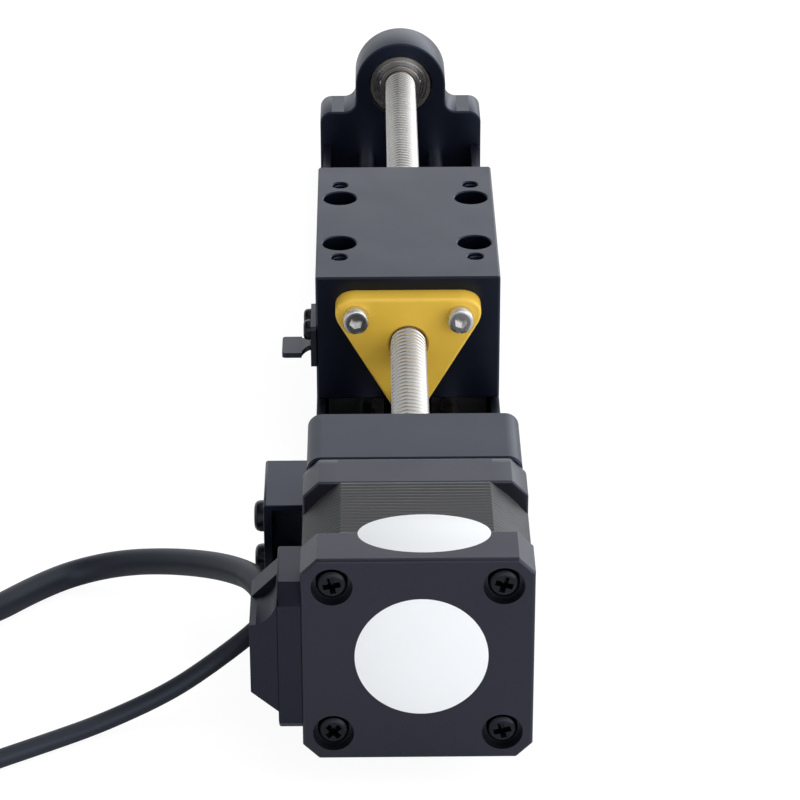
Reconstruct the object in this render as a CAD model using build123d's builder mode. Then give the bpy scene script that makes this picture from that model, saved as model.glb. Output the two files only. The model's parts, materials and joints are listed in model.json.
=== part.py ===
from build123d import *
import math
import os

# Stepper linear actuator: a size 17 motor turns a lead screw that drives a carriage along two guide shafts.
# Millimetres, +X to the right seen from the motor, +Y along the screw away from the motor, +Z up.
# The origin is the centre of the base rail's underside. The carriage stands near the middle of its travel.

os.makedirs("parts", exist_ok=True)

# Driving dimensions
axis_height = 27.0
touch_gap = 0.2
running_gap = 0.05
edge_break = 0.4

base_length = 256.0
base_width = 40.4
base_wall = 1.9
base_wall_top = 10.6
base_floor = 3.5
base_hole_spacing_x = 28.0
base_hole_spacing_y = 160.0
base_hole_diameter = 3.5

shaft_diameter = 4.0
shaft_spacing = 18.2
shaft_height = 6.9
shaft_socket = 2.0
seat_width = 1.6
seat_clearance = 0.4

motor_width = 42.3
motor_length = 38.5
front_cap_length = 9.6
rear_cap_length = 9.9
cap_corner = 3.0
stack_corner = 7.2
motor_hole_inset = 5.65
motor_screw_diameter = 3.0
motor_screw_head_diameter = 5.8
motor_screw_head_height = 1.9
rear_recess_diameter = 7.5
rear_recess_depth = 2.4
pilot_diameter = 22.0
pilot_height = 2.0
winding_room = 2.4
winding_reach = 18.0
rotor_diameter = 21.4
rotor_gap = 0.3
rotor_cup_length = 6.0
rotor_magnet_diameter = 18.0
slot_count = 8
slot_width = 5.0
slot_floor = 12.4
slot_reach = 16.6
slot_mouth = 1.4
journal_diameter = 6.0
journal_overrun = 1.0
journal_room = 1.5
motor_bearing_diameter = 17.0
motor_bearing_width = 6.0
motor_bearing_wall = 2.0
cap_opening_diameter = 9.0

mount_width = 41.0
mount_corner = 2.8
mount_thickness = 18.5
mount_bore = 12.0
mount_screw_head_diameter = 5.5
mount_screw_head_height = 3.0
mount_screw_grip = 14.0
mount_screw_reach = 4.0

foot_screw_diameter = 4.0
foot_screw_head_diameter = 7.6
foot_screw_spacing = 28.0
foot_screw_length = 9.0

screw_diameter = 7.9
screw_end_setback = 1.0

end_width = 42.0
end_thickness = 12.0
end_shoulder = 19.8
end_boss_radius = 11.7
end_corner = 2.8
end_bearing_diameter = 16.0
end_bearing_bore = 8.0
end_bearing_width = 5.0
end_bearing_setback = 0.5
end_bearing_lip = 1.5
end_ring_wall = 1.2
end_shield_thickness = 0.3
end_ball_diameter = 1.5
end_ball_count = 9

carriage_length = 61.5
carriage_inset = 0.05
carriage_height = 29.6
carriage_top = 40.8
carriage_place = -0.7
carriage_bore = 12.0
tapped_spacing_x = 30.0
tapped_spacing_y = 39.9
tapped_diameter = 3.5
tapped_depth = 10.0
bolt_spacing_x = 30.0
bolt_spacing_y = 24.9
bolt_head_hole = 7.5
bolt_hole = 4.4
bolt_grip = 5.6
bolt_diameter = 4.0
bolt_head_diameter = 7.0
bolt_head_height = 4.0
bolt_length = 12.0

shoe_length = 50.0
shoe_inner = 5.3
shoe_wall_gap = 0.7
shoe_bottom = 4.2

nut_barrel_diameter = 14.0
nut_barrel_length = 22.0
nut_flange = 4.8
nut_pitch_radius = 13.1
nut_corner = 4.2
nut_edge = 0.6
nut_entry_diameter = 8.8
nut_entry_depth = 3.0
nut_screw_diameter = 3.0
nut_screw_head_diameter = 5.5
nut_screw_head_height = 3.0
nut_screw_length = 12.0
nut_screw_count = 3
nut_screw_start = 30.0

sensor_height = 22.05
flag_thickness = 1.2
flag_plate_length = 13.1
flag_plate_bottom = 19.0
flag_plate_height = 9.7
flag_tip = 27.7
flag_knee = 23.4
flag_tongue_length = 8.2
flag_neck_length = 5.4
flag_rise = 1.5
flag_corner = 0.8
flag_screw_spacing = 5.5
flag_screw_height = 26.5
flag_screw_diameter = 2.5
flag_screw_head_diameter = 4.5
flag_screw_head_height = 1.6
flag_screw_length = 6.0

bracket_sheet = 1.3
bracket_outer = 28.8
bracket_top = 33.5
bracket_bottom = 13.0
bracket_overlap = 7.5
bracket_length = 15.1
bracket_bend = 0.6
bracket_screw_spread = 8.0
bracket_screw_diameter = 2.5
bracket_screw_head_diameter = 4.4
bracket_screw_length = 6.0

sensor_setback = 6.0
sensor_body_length = 10.0
sensor_body_height = 16.0
sensor_arm_length = 10.0
sensor_arm_width = 3.7
sensor_arm_height = 3.5
sensor_slot = 5.0
sensor_side_gap = 0.3
sensor_screw_spread = 8.7
sensor_screw_setback = 6.0
sensor_screw_diameter = 3.0
sensor_screw_head_diameter = 6.0
sensor_screw_head_height = 2.0
sensor_screw_length = 5.0
sensor_gland_diameter = 5.2
sensor_gland_length = 5.0

cover_setback = 0.5
cover_length = 16.1
cover_top = 41.6
cover_bottom = 12.7
cover_step = 25.5
cover_outer = 30.5
cover_chamfer = 3.3
cover_bevel = 1.8
cover_slope_top = 39.3
cover_slope_low = 34.4
cover_foot_top = 20.3
cover_foot_low = 15.9
cover_scoop_radius = 6.0
cover_edge = 0.6
cover_gland_diameter = 7.8
cover_gland_tip_diameter = 6.6
cover_gland_length = 7.2

# Cords: a length of each, wound into a coil beyond what lies loose
motor_cable_diameter = 5.4
sensor_cable_diameter = 3.6
motor_coil_diameter = 60.0
motor_coil_turns = 2
sensor_coil_diameter = 40.0
sensor_coil_turns = 3
motor_plug_size = (10.0, 16.0, 6.0)
sensor_plug_size = (8.0, 13.0, 5.0)

motor_cable_route = [
    (-26.8, -144.5, 24.0),
    (-30.2, -130.5, 21.7),
    (-32.9, -116.9, 16.3),
    (-37.3, -103.7, 11.0),
    (-47.8, -94.2, 6.7),
    (-61.7, -91.1, 2.7),
    (-76.3, -94.0, 2.7),
    (-91.9, -106.7, 2.7),
    (-101.9, -115.6, 2.7),
]
sensor_cable_route = [
    (-24.8, -119.5, 19.0),
    (-24.8, -128.5, 19.0),
    (-29.3, -136.0, 16.2),
    (-40.5, -141.4, 9.7),
    (-48.2, -143.6, 5.5),
    (-59.2, -147.0, 1.8),
    (-67.0, -152.4, 1.8),
    (-80.6, -161.0, 1.8),
    (-93.5, -169.9, 1.8),
    (-106.7, -178.4, 1.8),
]

# Places that follow from the sizes
motor_hole_spacing = motor_width - 2 * motor_hole_inset
mount_front = -base_length / 2
mount_back = mount_front + mount_thickness
mount_middle = (mount_front + mount_back) / 2
mount_top = axis_height + motor_width / 2
end_back = base_length / 2
end_front = end_back - end_thickness
end_middle = (end_front + end_back) / 2
motor_front = mount_front
motor_rear = motor_front - motor_length
stack_front = motor_front - front_cap_length
stack_rear = motor_rear + rear_cap_length
stack_length = stack_front - stack_rear
carriage_width = base_width - 2 * carriage_inset
carriage_front = carriage_place - carriage_length / 2
carriage_bottom = carriage_top - carriage_height
carriage_side = -carriage_width / 2
nut_front = carriage_front - nut_flange
shoe_outer = base_width / 2 - base_wall - shoe_wall_gap
bracket_front = mount_back - bracket_overlap
sensor_front = mount_back - sensor_setback
cover_front = motor_rear + cover_setback
end_bearing_front = end_front + end_bearing_setback
front_bearing_rear = motor_front - motor_bearing_wall - motor_bearing_width
rear_bearing_rear = motor_rear + motor_bearing_wall
shaft_radius = shaft_diameter / 2
screw_radius = screw_diameter / 2
journal_radius = journal_diameter / 2
bearing_ring_wall = (motor_bearing_diameter - journal_diameter) / 8


def upright(y, z=axis_height):
    """A plane across the screw, local x along +X and local y up. A negative extrusion runs towards +Y."""
    return Plane(origin=(0, y, z), x_dir=(1, 0, 0), z_dir=(0, -1, 0))


def towards_end(y, z=axis_height):
    """A plane across the screw that faces the end block, for what is put in from that side."""
    return Plane(origin=(0, y, z), x_dir=(-1, 0, 0), z_dir=(0, 1, 0))


def level(z):
    """A plane parallel to the base rail's underside. A positive extrusion runs up."""
    return Plane.XY.offset(z)


def facing_left(x, y=0.0, z=0.0):
    """A plane seen from the left, with its normal along -X, local x along -Y and local y up."""
    return Plane(origin=(x, y, z), x_dir=(0, -1, 0), z_dir=(-1, 0, 0))


def corners(dx, dy):
    """The four corners of a hole pattern about its middle."""
    return [(x * dx / 2, y * dy / 2) for x in (-1, 1) for y in (-1, 1)]


def pair(dx, dy=0.0):
    """Two points on opposite sides of the middle."""
    return [(-dx / 2, -dy / 2), (dx / 2, dy / 2)]


def exit_plane(route):
    """The plane across the start of a cord, facing along its first run."""
    start = Vector(*route[0])
    return Plane(origin=start, z_dir=Vector(*route[1]) - start)


def ring_points(radius, count, start):
    """Points evenly spaced round a circle."""
    angles = [math.radians(start + 360 * i / count) for i in range(count)]
    return [(radius * math.cos(a), radius * math.sin(a)) for a in angles]


def keep(part, label):
    """Label a finished piece and write it."""
    part.label = label
    export_step(part, "parts/" + label + ".step")


def headed_screws(seat, points, diameter, head_diameter, head_height, length, head_edge):
    """Screws with round heads that sit on a plane, their shanks running into it."""
    with BuildPart() as screws:
        with BuildSketch(seat):
            with Locations(*points):
                Circle(head_diameter / 2)
        extrude(amount=head_height)
        rims = screws.edges().filter_by(GeomType.CIRCLE)
        outward = seat.z_dir
        tops = [edge for edge in rims if (edge.arc_center - seat.origin).dot(outward) > head_height / 2]
        fillet(tops, head_edge)
        with BuildSketch(seat):
            with Locations(*points):
                Circle(diameter / 2)
        extrude(amount=-length)
    return screws.part


def flat_screws(seat, points, diameter, head_diameter, length):
    """Countersunk screws whose heads lie flush with a plane."""
    with BuildPart() as screws:
        with BuildSketch(seat):
            with Locations(*points):
                Circle(diameter / 2)
        extrude(amount=-length)
        head_depth = (head_diameter - diameter) / 2
        with Locations(*[(seat * Pos(x, y, -head_depth / 2)) for x, y in points]):
            Cone(diameter / 2, head_diameter / 2, head_depth)
    return screws.part


def bearing_ring(seat, outer_diameter, wall, width, edge):
    """One ring of a ball bearing, with its rims broken."""
    with BuildPart() as ring:
        with BuildSketch(seat):
            Circle(outer_diameter / 2)
            Circle(outer_diameter / 2 - wall, mode=Mode.SUBTRACT)
        extrude(amount=-width)
        chamfer(ring.edges().filter_by(GeomType.CIRCLE), edge)
    return ring.part


# Base rail: a shallow channel with two ribs that carry the guide shafts
seat_top = shaft_height - math.sqrt(shaft_radius**2 - (seat_width / 2) ** 2)
with BuildPart() as base_rail:
    with BuildSketch(upright(mount_front, 0)):
        with Locations((0, base_wall_top / 2)):
            Rectangle(base_width, base_wall_top)
        with Locations((0, (base_wall_top + base_floor) / 2)):
            Rectangle(base_width - 2 * base_wall, base_wall_top - base_floor, mode=Mode.SUBTRACT)
    extrude(amount=-base_length)
    # The walls stop short of the two blocks, which stand on the floor
    for middle, length in ((mount_middle, mount_thickness), (end_middle, end_thickness)):
        with BuildSketch(level(base_floor)):
            with Locations((0, middle)):
                Rectangle(base_width, length + 2 * touch_gap)
        extrude(amount=base_wall_top, mode=Mode.SUBTRACT)
    # Ribs with a hollow top that the shafts lie in
    with BuildSketch(level(base_floor)):
        with Locations((0, (mount_back + end_front) / 2)):
            with Locations(*pair(shaft_spacing)):
                Rectangle(seat_width, end_front - mount_back)
    extrude(amount=seat_top - base_floor)
    with BuildSketch(upright(mount_back, shaft_height)):
        with Locations(*pair(shaft_spacing)):
            Circle(shaft_radius)
    extrude(amount=mount_back - end_front, mode=Mode.SUBTRACT)
    # Tapped holes that hold the actuator down, and countersunk ones for the blocks
    with BuildSketch(level(0)):
        with Locations(*corners(base_hole_spacing_x, base_hole_spacing_y)):
            Circle(base_hole_diameter / 2)
    extrude(amount=base_floor, mode=Mode.SUBTRACT)
    for middle in (mount_middle, end_middle):
        with Locations(*[Location((x, middle, 0), (180, 0, 0)) for x, _ in pair(foot_screw_spacing)]):
            CounterSinkHole(foot_screw_diameter / 2, foot_screw_head_diameter / 2, base_floor, 90)
keep(base_rail.part, "base_rail")

# Guide shafts: ground steel, their ends in sockets in the two blocks
with BuildPart() as guide_shafts:
    with BuildSketch(upright(mount_back - shaft_socket, shaft_height)):
        with Locations(*pair(shaft_spacing)):
            Circle(shaft_radius)
    extrude(amount=-(end_front - mount_back + 2 * shaft_socket))
    chamfer(guide_shafts.edges().filter_by(GeomType.CIRCLE), edge_break / 2)
keep(guide_shafts.part, "guide_shafts")

# Motor mount: a solid block whose top is flush with the motor's
with BuildPart() as motor_mount:
    with BuildSketch(upright(mount_front, 0)) as mount_outline:
        with Locations((0, (base_floor + mount_top) / 2)):
            Rectangle(mount_width, mount_top - base_floor)
        fillet(mount_outline.vertices().group_by(Axis.Y)[-1], mount_corner)
    extrude(amount=-mount_thickness)
    chamfer(motor_mount.faces().sort_by(Axis.Y)[0].edges(), edge_break)
    chamfer(motor_mount.faces().sort_by(Axis.Y)[-1].edges(), edge_break)
    with BuildSketch(upright(mount_front)):
        Circle(pilot_diameter / 2 + running_gap)
    extrude(amount=-(pilot_height + touch_gap), mode=Mode.SUBTRACT)
    with BuildSketch(upright(mount_front)):
        Circle(mount_bore / 2)
    extrude(amount=-mount_thickness, mode=Mode.SUBTRACT)
    with BuildSketch(upright(mount_front)):
        with Locations(*corners(motor_hole_spacing, motor_hole_spacing)):
            Circle(motor_screw_diameter / 2)
    extrude(amount=-mount_thickness, mode=Mode.SUBTRACT)
    with BuildSketch(upright(mount_front + mount_screw_grip)):
        with Locations(*corners(motor_hole_spacing, motor_hole_spacing)):
            Circle(mount_screw_head_diameter / 2 + touch_gap)
    extrude(amount=-(mount_thickness - mount_screw_grip), mode=Mode.SUBTRACT)
    with BuildSketch(upright(mount_back - shaft_socket, shaft_height)):
        with Locations(*pair(shaft_spacing)):
            Circle(shaft_radius)
    extrude(amount=-shaft_socket, mode=Mode.SUBTRACT)
    with BuildSketch(level(base_floor)):
        with Locations((0, mount_middle)):
            with Locations(*pair(foot_screw_spacing)):
                Circle(foot_screw_diameter / 2)
    extrude(amount=foot_screw_length - base_floor, mode=Mode.SUBTRACT)
    # Blind holes for the sensor bracket, on the left side
    bracket_leg_middle = (bracket_front + mount_back) / 2
    with BuildSketch(facing_left(-mount_width / 2, bracket_leg_middle, sensor_height)):
        with Locations(*pair(0, bracket_screw_spread)):
            Circle(bracket_screw_diameter / 2)
    extrude(amount=-(bracket_screw_length - bracket_sheet), mode=Mode.SUBTRACT)
keep(motor_mount.part, "motor_mount")

# Screws of the mount: into the motor's front cap from behind, and up through the base
keep(
    headed_screws(
        towards_end(mount_front + mount_screw_grip),
        corners(motor_hole_spacing, motor_hole_spacing),
        motor_screw_diameter,
        mount_screw_head_diameter,
        mount_screw_head_height,
        mount_screw_grip + mount_screw_reach,
        edge_break,
    ),
    "mount_screws",
)
underside = Plane(origin=(0, 0, 0), x_dir=(1, 0, 0), z_dir=(0, 0, -1))
foot_points = [(x, -middle) for middle in (mount_middle, end_middle) for x, _ in pair(foot_screw_spacing)]
keep(
    flat_screws(underside, foot_points, foot_screw_diameter, foot_screw_head_diameter, foot_screw_length),
    "foot_screws",
)

# Motor front cap: pilot boss, bearing seat and room for the windings' ends
with BuildPart() as motor_front_cap:
    with BuildSketch(upright(stack_front)) as cap_outline:
        Rectangle(motor_width, motor_width)
        chamfer(cap_outline.vertices(), cap_corner)
    extrude(amount=-front_cap_length)
    chamfer(motor_front_cap.faces().sort_by(Axis.Y)[-1].edges(), edge_break)
    with BuildSketch(upright(motor_front)):
        Circle(pilot_diameter / 2)
    extrude(amount=-pilot_height)
    with BuildSketch(upright(stack_front)):
        Circle(winding_reach)
    extrude(amount=-winding_room, mode=Mode.SUBTRACT)
    with BuildSketch(upright(stack_front)):
        Circle(motor_bearing_diameter / 2)
    extrude(amount=-(front_cap_length - motor_bearing_wall), mode=Mode.SUBTRACT)
    with BuildSketch(upright(stack_front)):
        Circle(cap_opening_diameter / 2)
    extrude(amount=-(front_cap_length + pilot_height), mode=Mode.SUBTRACT)
    with BuildSketch(upright(motor_front - mount_screw_reach)):
        with Locations(*corners(motor_hole_spacing, motor_hole_spacing)):
            Circle(motor_screw_diameter / 2)
    extrude(amount=-mount_screw_reach, mode=Mode.SUBTRACT)
    with BuildSketch(upright(stack_front)):
        with Locations(*corners(motor_hole_spacing, motor_hole_spacing)):
            Circle(motor_screw_diameter / 2)
    extrude(amount=-mount_screw_reach, mode=Mode.SUBTRACT)
keep(motor_front_cap.part, "motor_front_cap")

# Stator: a stack of laminations, its corners cut round, with eight poles and the windings between them
slot_middle = (slot_floor + slot_reach) / 2
slot_angle = 360 / slot_count
bore_radius = rotor_diameter / 2 + rotor_gap
with BuildPart() as stator_stack:
    with BuildSketch(upright(stack_rear)):
        Rectangle(motor_width, motor_width)
        Circle(math.hypot(motor_width / 2, motor_width / 2 - stack_corner), mode=Mode.INTERSECT)
        Circle(bore_radius, mode=Mode.SUBTRACT)
        with PolarLocations(slot_middle, slot_count, slot_angle / 2):
            Rectangle(slot_reach - slot_floor, slot_width, mode=Mode.SUBTRACT)
        with PolarLocations((bore_radius + slot_floor) / 2, slot_count, slot_angle / 2):
            Rectangle(slot_floor - bore_radius + running_gap, slot_mouth, mode=Mode.SUBTRACT)
        with Locations(*corners(motor_hole_spacing, motor_hole_spacing)):
            Circle(motor_screw_diameter / 2, mode=Mode.SUBTRACT)
    extrude(amount=-stack_length)
keep(stator_stack.part, "stator_stack")

winding_overhang = winding_room - touch_gap
with BuildPart() as stator_windings:
    with BuildSketch(upright(stack_rear - winding_overhang)):
        with PolarLocations(slot_middle, slot_count, slot_angle / 2):
            RectangleRounded(slot_reach - slot_floor, slot_width, edge_break)
    extrude(amount=-(stack_length + 2 * winding_overhang))
keep(stator_windings.part, "stator_windings")

# Motor rear cap: bevelled corners, four recesses for the long screws and the rear bearing's seat
with BuildPart() as motor_rear_cap:
    with BuildSketch(upright(motor_rear)) as rear_outline:
        Rectangle(motor_width, motor_width)
        chamfer(rear_outline.vertices(), cap_corner)
    extrude(amount=-rear_cap_length)
    chamfer(motor_rear_cap.faces().sort_by(Axis.Y)[0].edges(), edge_break)
    with BuildSketch(upright(motor_rear)):
        with Locations(*corners(motor_hole_spacing, motor_hole_spacing)):
            Circle(rear_recess_diameter / 2)
    extrude(amount=-rear_recess_depth, mode=Mode.SUBTRACT)
    with BuildSketch(upright(motor_rear)):
        with Locations(*corners(motor_hole_spacing, motor_hole_spacing)):
            Circle(motor_screw_diameter / 2)
    extrude(amount=-rear_cap_length, mode=Mode.SUBTRACT)
    with BuildSketch(upright(rear_bearing_rear)):
        Circle(motor_bearing_diameter / 2)
    extrude(amount=-rear_cap_length, mode=Mode.SUBTRACT)
    with BuildSketch(upright(rear_bearing_rear - journal_room)):
        Circle(cap_opening_diameter / 2)
    extrude(amount=-journal_room, mode=Mode.SUBTRACT)
    with BuildSketch(upright(stack_rear - winding_room)):
        Circle(winding_reach)
    extrude(amount=-winding_room, mode=Mode.SUBTRACT)
keep(motor_rear_cap.part, "motor_rear_cap")

keep(
    headed_screws(
        upright(motor_rear + rear_recess_depth),
        corners(motor_hole_spacing, motor_hole_spacing),
        motor_screw_diameter,
        motor_screw_head_diameter,
        motor_screw_head_height,
        motor_length - front_cap_length - rear_recess_depth + mount_screw_reach,
        motor_screw_head_height / 3,
    ),
    "motor_screws",
)

# Motor bearings: the outer rings stay in the caps, the inner rings turn with the screw
for name, rear in (("front", front_bearing_rear), ("rear", rear_bearing_rear)):
    outer_ring = bearing_ring(
        upright(rear), motor_bearing_diameter, bearing_ring_wall, motor_bearing_width, edge_break / 2
    )
    keep(outer_ring, "motor_" + name + "_bearing_outer")
    inner_ring = bearing_ring(
        upright(rear), journal_diameter + 2 * bearing_ring_wall, bearing_ring_wall, motor_bearing_width, edge_break / 2
    )
    keep(inner_ring, "motor_" + name + "_bearing_inner")

# Rotor: two iron cups with a magnet between them
rotor_middle = (stack_front + stack_rear) / 2
magnet_length = stack_length - 2 * rotor_cup_length
with BuildPart() as rotor_cups:
    for rear in (stack_rear, stack_front - rotor_cup_length):
        with BuildSketch(upright(rear)):
            Circle(rotor_diameter / 2)
            Circle(journal_radius, mode=Mode.SUBTRACT)
        extrude(amount=-rotor_cup_length)
keep(rotor_cups.part, "rotor_cups")

with BuildPart() as rotor_magnet:
    with BuildSketch(upright(rotor_middle - magnet_length / 2)):
        Circle(rotor_magnet_diameter / 2)
        Circle(journal_radius, mode=Mode.SUBTRACT)
    extrude(amount=-magnet_length)
keep(rotor_magnet.part, "rotor_magnet")

# Lead screw: one bar, turned down to a journal inside the motor
journal_rear = rear_bearing_rear - journal_overrun
screw_start = motor_front - motor_bearing_wall
screw_stop = end_back - screw_end_setback
with BuildPart() as lead_screw:
    with BuildSketch(upright(journal_rear)):
        Circle(journal_radius)
    extrude(amount=journal_rear - screw_start)
    with BuildSketch(upright(screw_start)):
        Circle(screw_radius)
    extrude(amount=screw_start - screw_stop)
    chamfer(lead_screw.faces().sort_by(Axis.Y)[-1].edges(), edge_break)
    chamfer(lead_screw.faces().sort_by(Axis.Y)[0].edges(), edge_break)
keep(lead_screw.part, "lead_screw")

# End block: a foot with round shoulders and a boss round the end bearing
boss_side = end_boss_radius
with BuildPart() as end_block:
    with BuildSketch(upright(end_front, 0)) as block_outline:
        with Locations((0, (base_floor + end_shoulder) / 2)):
            Rectangle(end_width, end_shoulder - base_floor)
        with Locations((0, (base_floor + axis_height) / 2)):
            Rectangle(2 * boss_side, axis_height - base_floor)
        shoulder_points = block_outline.vertices().filter_by(lambda v: abs(v.Z - end_shoulder) < touch_gap)
        fillet(shoulder_points, end_corner)
        with Locations((0, axis_height)):
            Circle(end_boss_radius)
    extrude(amount=-end_thickness)
    chamfer(end_block.faces().sort_by(Axis.Y)[0].edges(), edge_break)
    chamfer(end_block.faces().sort_by(Axis.Y)[-1].edges(), edge_break)
    with BuildSketch(upright(end_front)):
        Circle(end_bearing_diameter / 2)
    extrude(amount=-(end_bearing_setback + end_bearing_width), mode=Mode.SUBTRACT)
    with BuildSketch(upright(end_front)):
        Circle(end_bearing_diameter / 2 - end_bearing_lip)
    extrude(amount=-end_thickness, mode=Mode.SUBTRACT)
    with BuildSketch(upright(end_front, shaft_height)):
        with Locations(*pair(shaft_spacing)):
            Circle(shaft_radius)
    extrude(amount=-shaft_socket, mode=Mode.SUBTRACT)
    with BuildSketch(level(base_floor)):
        with Locations((0, end_middle)):
            with Locations(*pair(foot_screw_spacing)):
                Circle(foot_screw_diameter / 2)
    extrude(amount=foot_screw_length - base_floor, mode=Mode.SUBTRACT)
keep(end_block.part, "end_block")

# End bearing: rings, balls and the two shields between them
end_outer_inside = end_bearing_diameter / 2 - end_ring_wall
end_inner_outside = end_bearing_bore / 2 + end_ring_wall
keep(
    bearing_ring(
        upright(end_bearing_front), end_bearing_diameter, end_ring_wall, end_bearing_width, edge_break / 2
    ),
    "end_bearing_outer",
)
keep(
    bearing_ring(
        upright(end_bearing_front), 2 * end_inner_outside, end_ring_wall, end_bearing_width, edge_break / 2
    ),
    "end_bearing_inner",
)
with BuildPart() as end_bearing_shields:
    for front in (end_bearing_front + touch_gap, end_bearing_front + end_bearing_width - touch_gap - end_shield_thickness):
        with BuildSketch(upright(front)):
            Circle(end_outer_inside)
            Circle(end_inner_outside + touch_gap, mode=Mode.SUBTRACT)
        extrude(amount=-end_shield_thickness)
keep(end_bearing_shields.part, "end_bearing_shields")
ball_circle = (end_outer_inside + end_inner_outside) / 2
ball_middle = end_bearing_front + end_bearing_width / 2
with BuildPart() as end_bearing_balls:
    with Locations(*[(x, ball_middle, axis_height + z) for x, z in ring_points(ball_circle, end_ball_count, 0)]):
        Sphere(end_ball_diameter / 2)
keep(end_bearing_balls.part, "end_bearing_balls")

# Carriage: a block with the nut's seat, the screw's bore and the customer's holes
with BuildPart() as carriage:
    with BuildSketch(level(carriage_bottom)):
        with Locations((0, carriage_place)):
            Rectangle(carriage_width, carriage_length)
    extrude(amount=carriage_height)
    chamfer(carriage.edges(), edge_break)
    with BuildSketch(upright(carriage_front)):
        Circle(carriage_bore / 2)
    extrude(amount=-carriage_length, mode=Mode.SUBTRACT)
    with BuildSketch(upright(carriage_front)):
        Circle(nut_barrel_diameter / 2 + running_gap)
    extrude(amount=-(nut_barrel_length + touch_gap), mode=Mode.SUBTRACT)
    with BuildSketch(upright(carriage_front)):
        with Locations(*ring_points(nut_pitch_radius, nut_screw_count, nut_screw_start)):
            Circle(nut_screw_diameter / 2)
    extrude(amount=-(nut_screw_length - nut_flange), mode=Mode.SUBTRACT)
    with BuildSketch(level(carriage_top)):
        with Locations((0, carriage_place)):
            with Locations(*corners(tapped_spacing_x, tapped_spacing_y)):
                Circle(tapped_diameter / 2)
    extrude(amount=-tapped_depth, mode=Mode.SUBTRACT)
    with BuildSketch(level(carriage_bottom + bolt_grip)):
        with Locations((0, carriage_place)):
            with Locations(*corners(bolt_spacing_x, bolt_spacing_y)):
                Circle(bolt_head_hole / 2)
    extrude(amount=carriage_height - bolt_grip, mode=Mode.SUBTRACT)
    with BuildSketch(level(carriage_bottom)):
        with Locations((0, carriage_place)):
            with Locations(*corners(bolt_spacing_x, bolt_spacing_y)):
                Circle(bolt_hole / 2)
    extrude(amount=bolt_grip, mode=Mode.SUBTRACT)
    flag_plate_middle = carriage_front + flag_plate_length / 2
    with BuildSketch(facing_left(carriage_side, flag_plate_middle, flag_screw_height)):
        with Locations(*pair(flag_screw_spacing)):
            Circle(flag_screw_diameter / 2)
    extrude(amount=-(flag_screw_length - flag_thickness), mode=Mode.SUBTRACT)
keep(carriage.part, "carriage")

# Guide shoes: each wraps one shaft, with a slot below for the rib
shoe_middle = (shoe_inner + shoe_outer) / 2
with BuildPart() as guide_shoes:
    with BuildSketch(level(shoe_bottom)):
        with Locations((0, carriage_place)):
            with Locations(*pair(2 * shoe_middle)):
                Rectangle(shoe_outer - shoe_inner, shoe_length)
    extrude(amount=carriage_bottom - shoe_bottom)
    with BuildSketch(upright(carriage_front, shaft_height)):
        with Locations(*pair(shaft_spacing)):
            Circle(shaft_radius + running_gap)
        slot_drop = shaft_height - shoe_bottom
        with Locations((0, -slot_drop / 2)):
            with Locations(*pair(shaft_spacing)):
                Rectangle(seat_width + 2 * seat_clearance, slot_drop)
    extrude(amount=-carriage_length, mode=Mode.SUBTRACT)
    with BuildSketch(level(shoe_bottom)):
        with Locations((0, carriage_place)):
            with Locations(*corners(bolt_spacing_x, bolt_spacing_y)):
                Circle(bolt_diameter / 2)
    extrude(amount=carriage_bottom - shoe_bottom, mode=Mode.SUBTRACT)
keep(guide_shoes.part, "guide_shoes")

shoe_seat = Plane.XY.offset(carriage_bottom + bolt_grip)
shoe_points = [(x, y + carriage_place) for x, y in corners(bolt_spacing_x, bolt_spacing_y)]
keep(
    headed_screws(
        shoe_seat, shoe_points, bolt_diameter, bolt_head_diameter, bolt_head_height, bolt_length, edge_break
    ),
    "shoe_screws",
)

# Flange nut: three lobes with straight sides between them, and a barrel in the carriage
with BuildPart() as flange_nut:
    with BuildSketch(upright(nut_front)):
        with Locations(*ring_points(nut_pitch_radius, nut_screw_count, nut_screw_start)):
            Circle(nut_corner)
        make_hull()
    extrude(amount=-nut_flange)
    fillet(flange_nut.faces().sort_by(Axis.Y)[0].edges(), nut_edge)
    with BuildSketch(upright(carriage_front)):
        Circle(nut_barrel_diameter / 2)
    extrude(amount=-nut_barrel_length)
    with BuildSketch(upright(nut_front)):
        Circle(screw_radius + running_gap)
    extrude(amount=-(nut_flange + nut_barrel_length), mode=Mode.SUBTRACT)
    with BuildSketch(upright(nut_front)):
        Circle(nut_entry_diameter / 2)
    extrude(amount=-nut_entry_depth, mode=Mode.SUBTRACT)
    with BuildSketch(upright(nut_front)):
        with Locations(*ring_points(nut_pitch_radius, nut_screw_count, nut_screw_start)):
            Circle(nut_screw_diameter / 2)
    extrude(amount=-nut_flange, mode=Mode.SUBTRACT)
keep(flange_nut.part, "flange_nut")

keep(
    headed_screws(
        upright(nut_front),
        ring_points(nut_pitch_radius, nut_screw_count, nut_screw_start),
        nut_screw_diameter,
        nut_screw_head_diameter,
        nut_screw_head_height,
        nut_screw_length,
        edge_break,
    ),
    "nut_screws",
)

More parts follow.
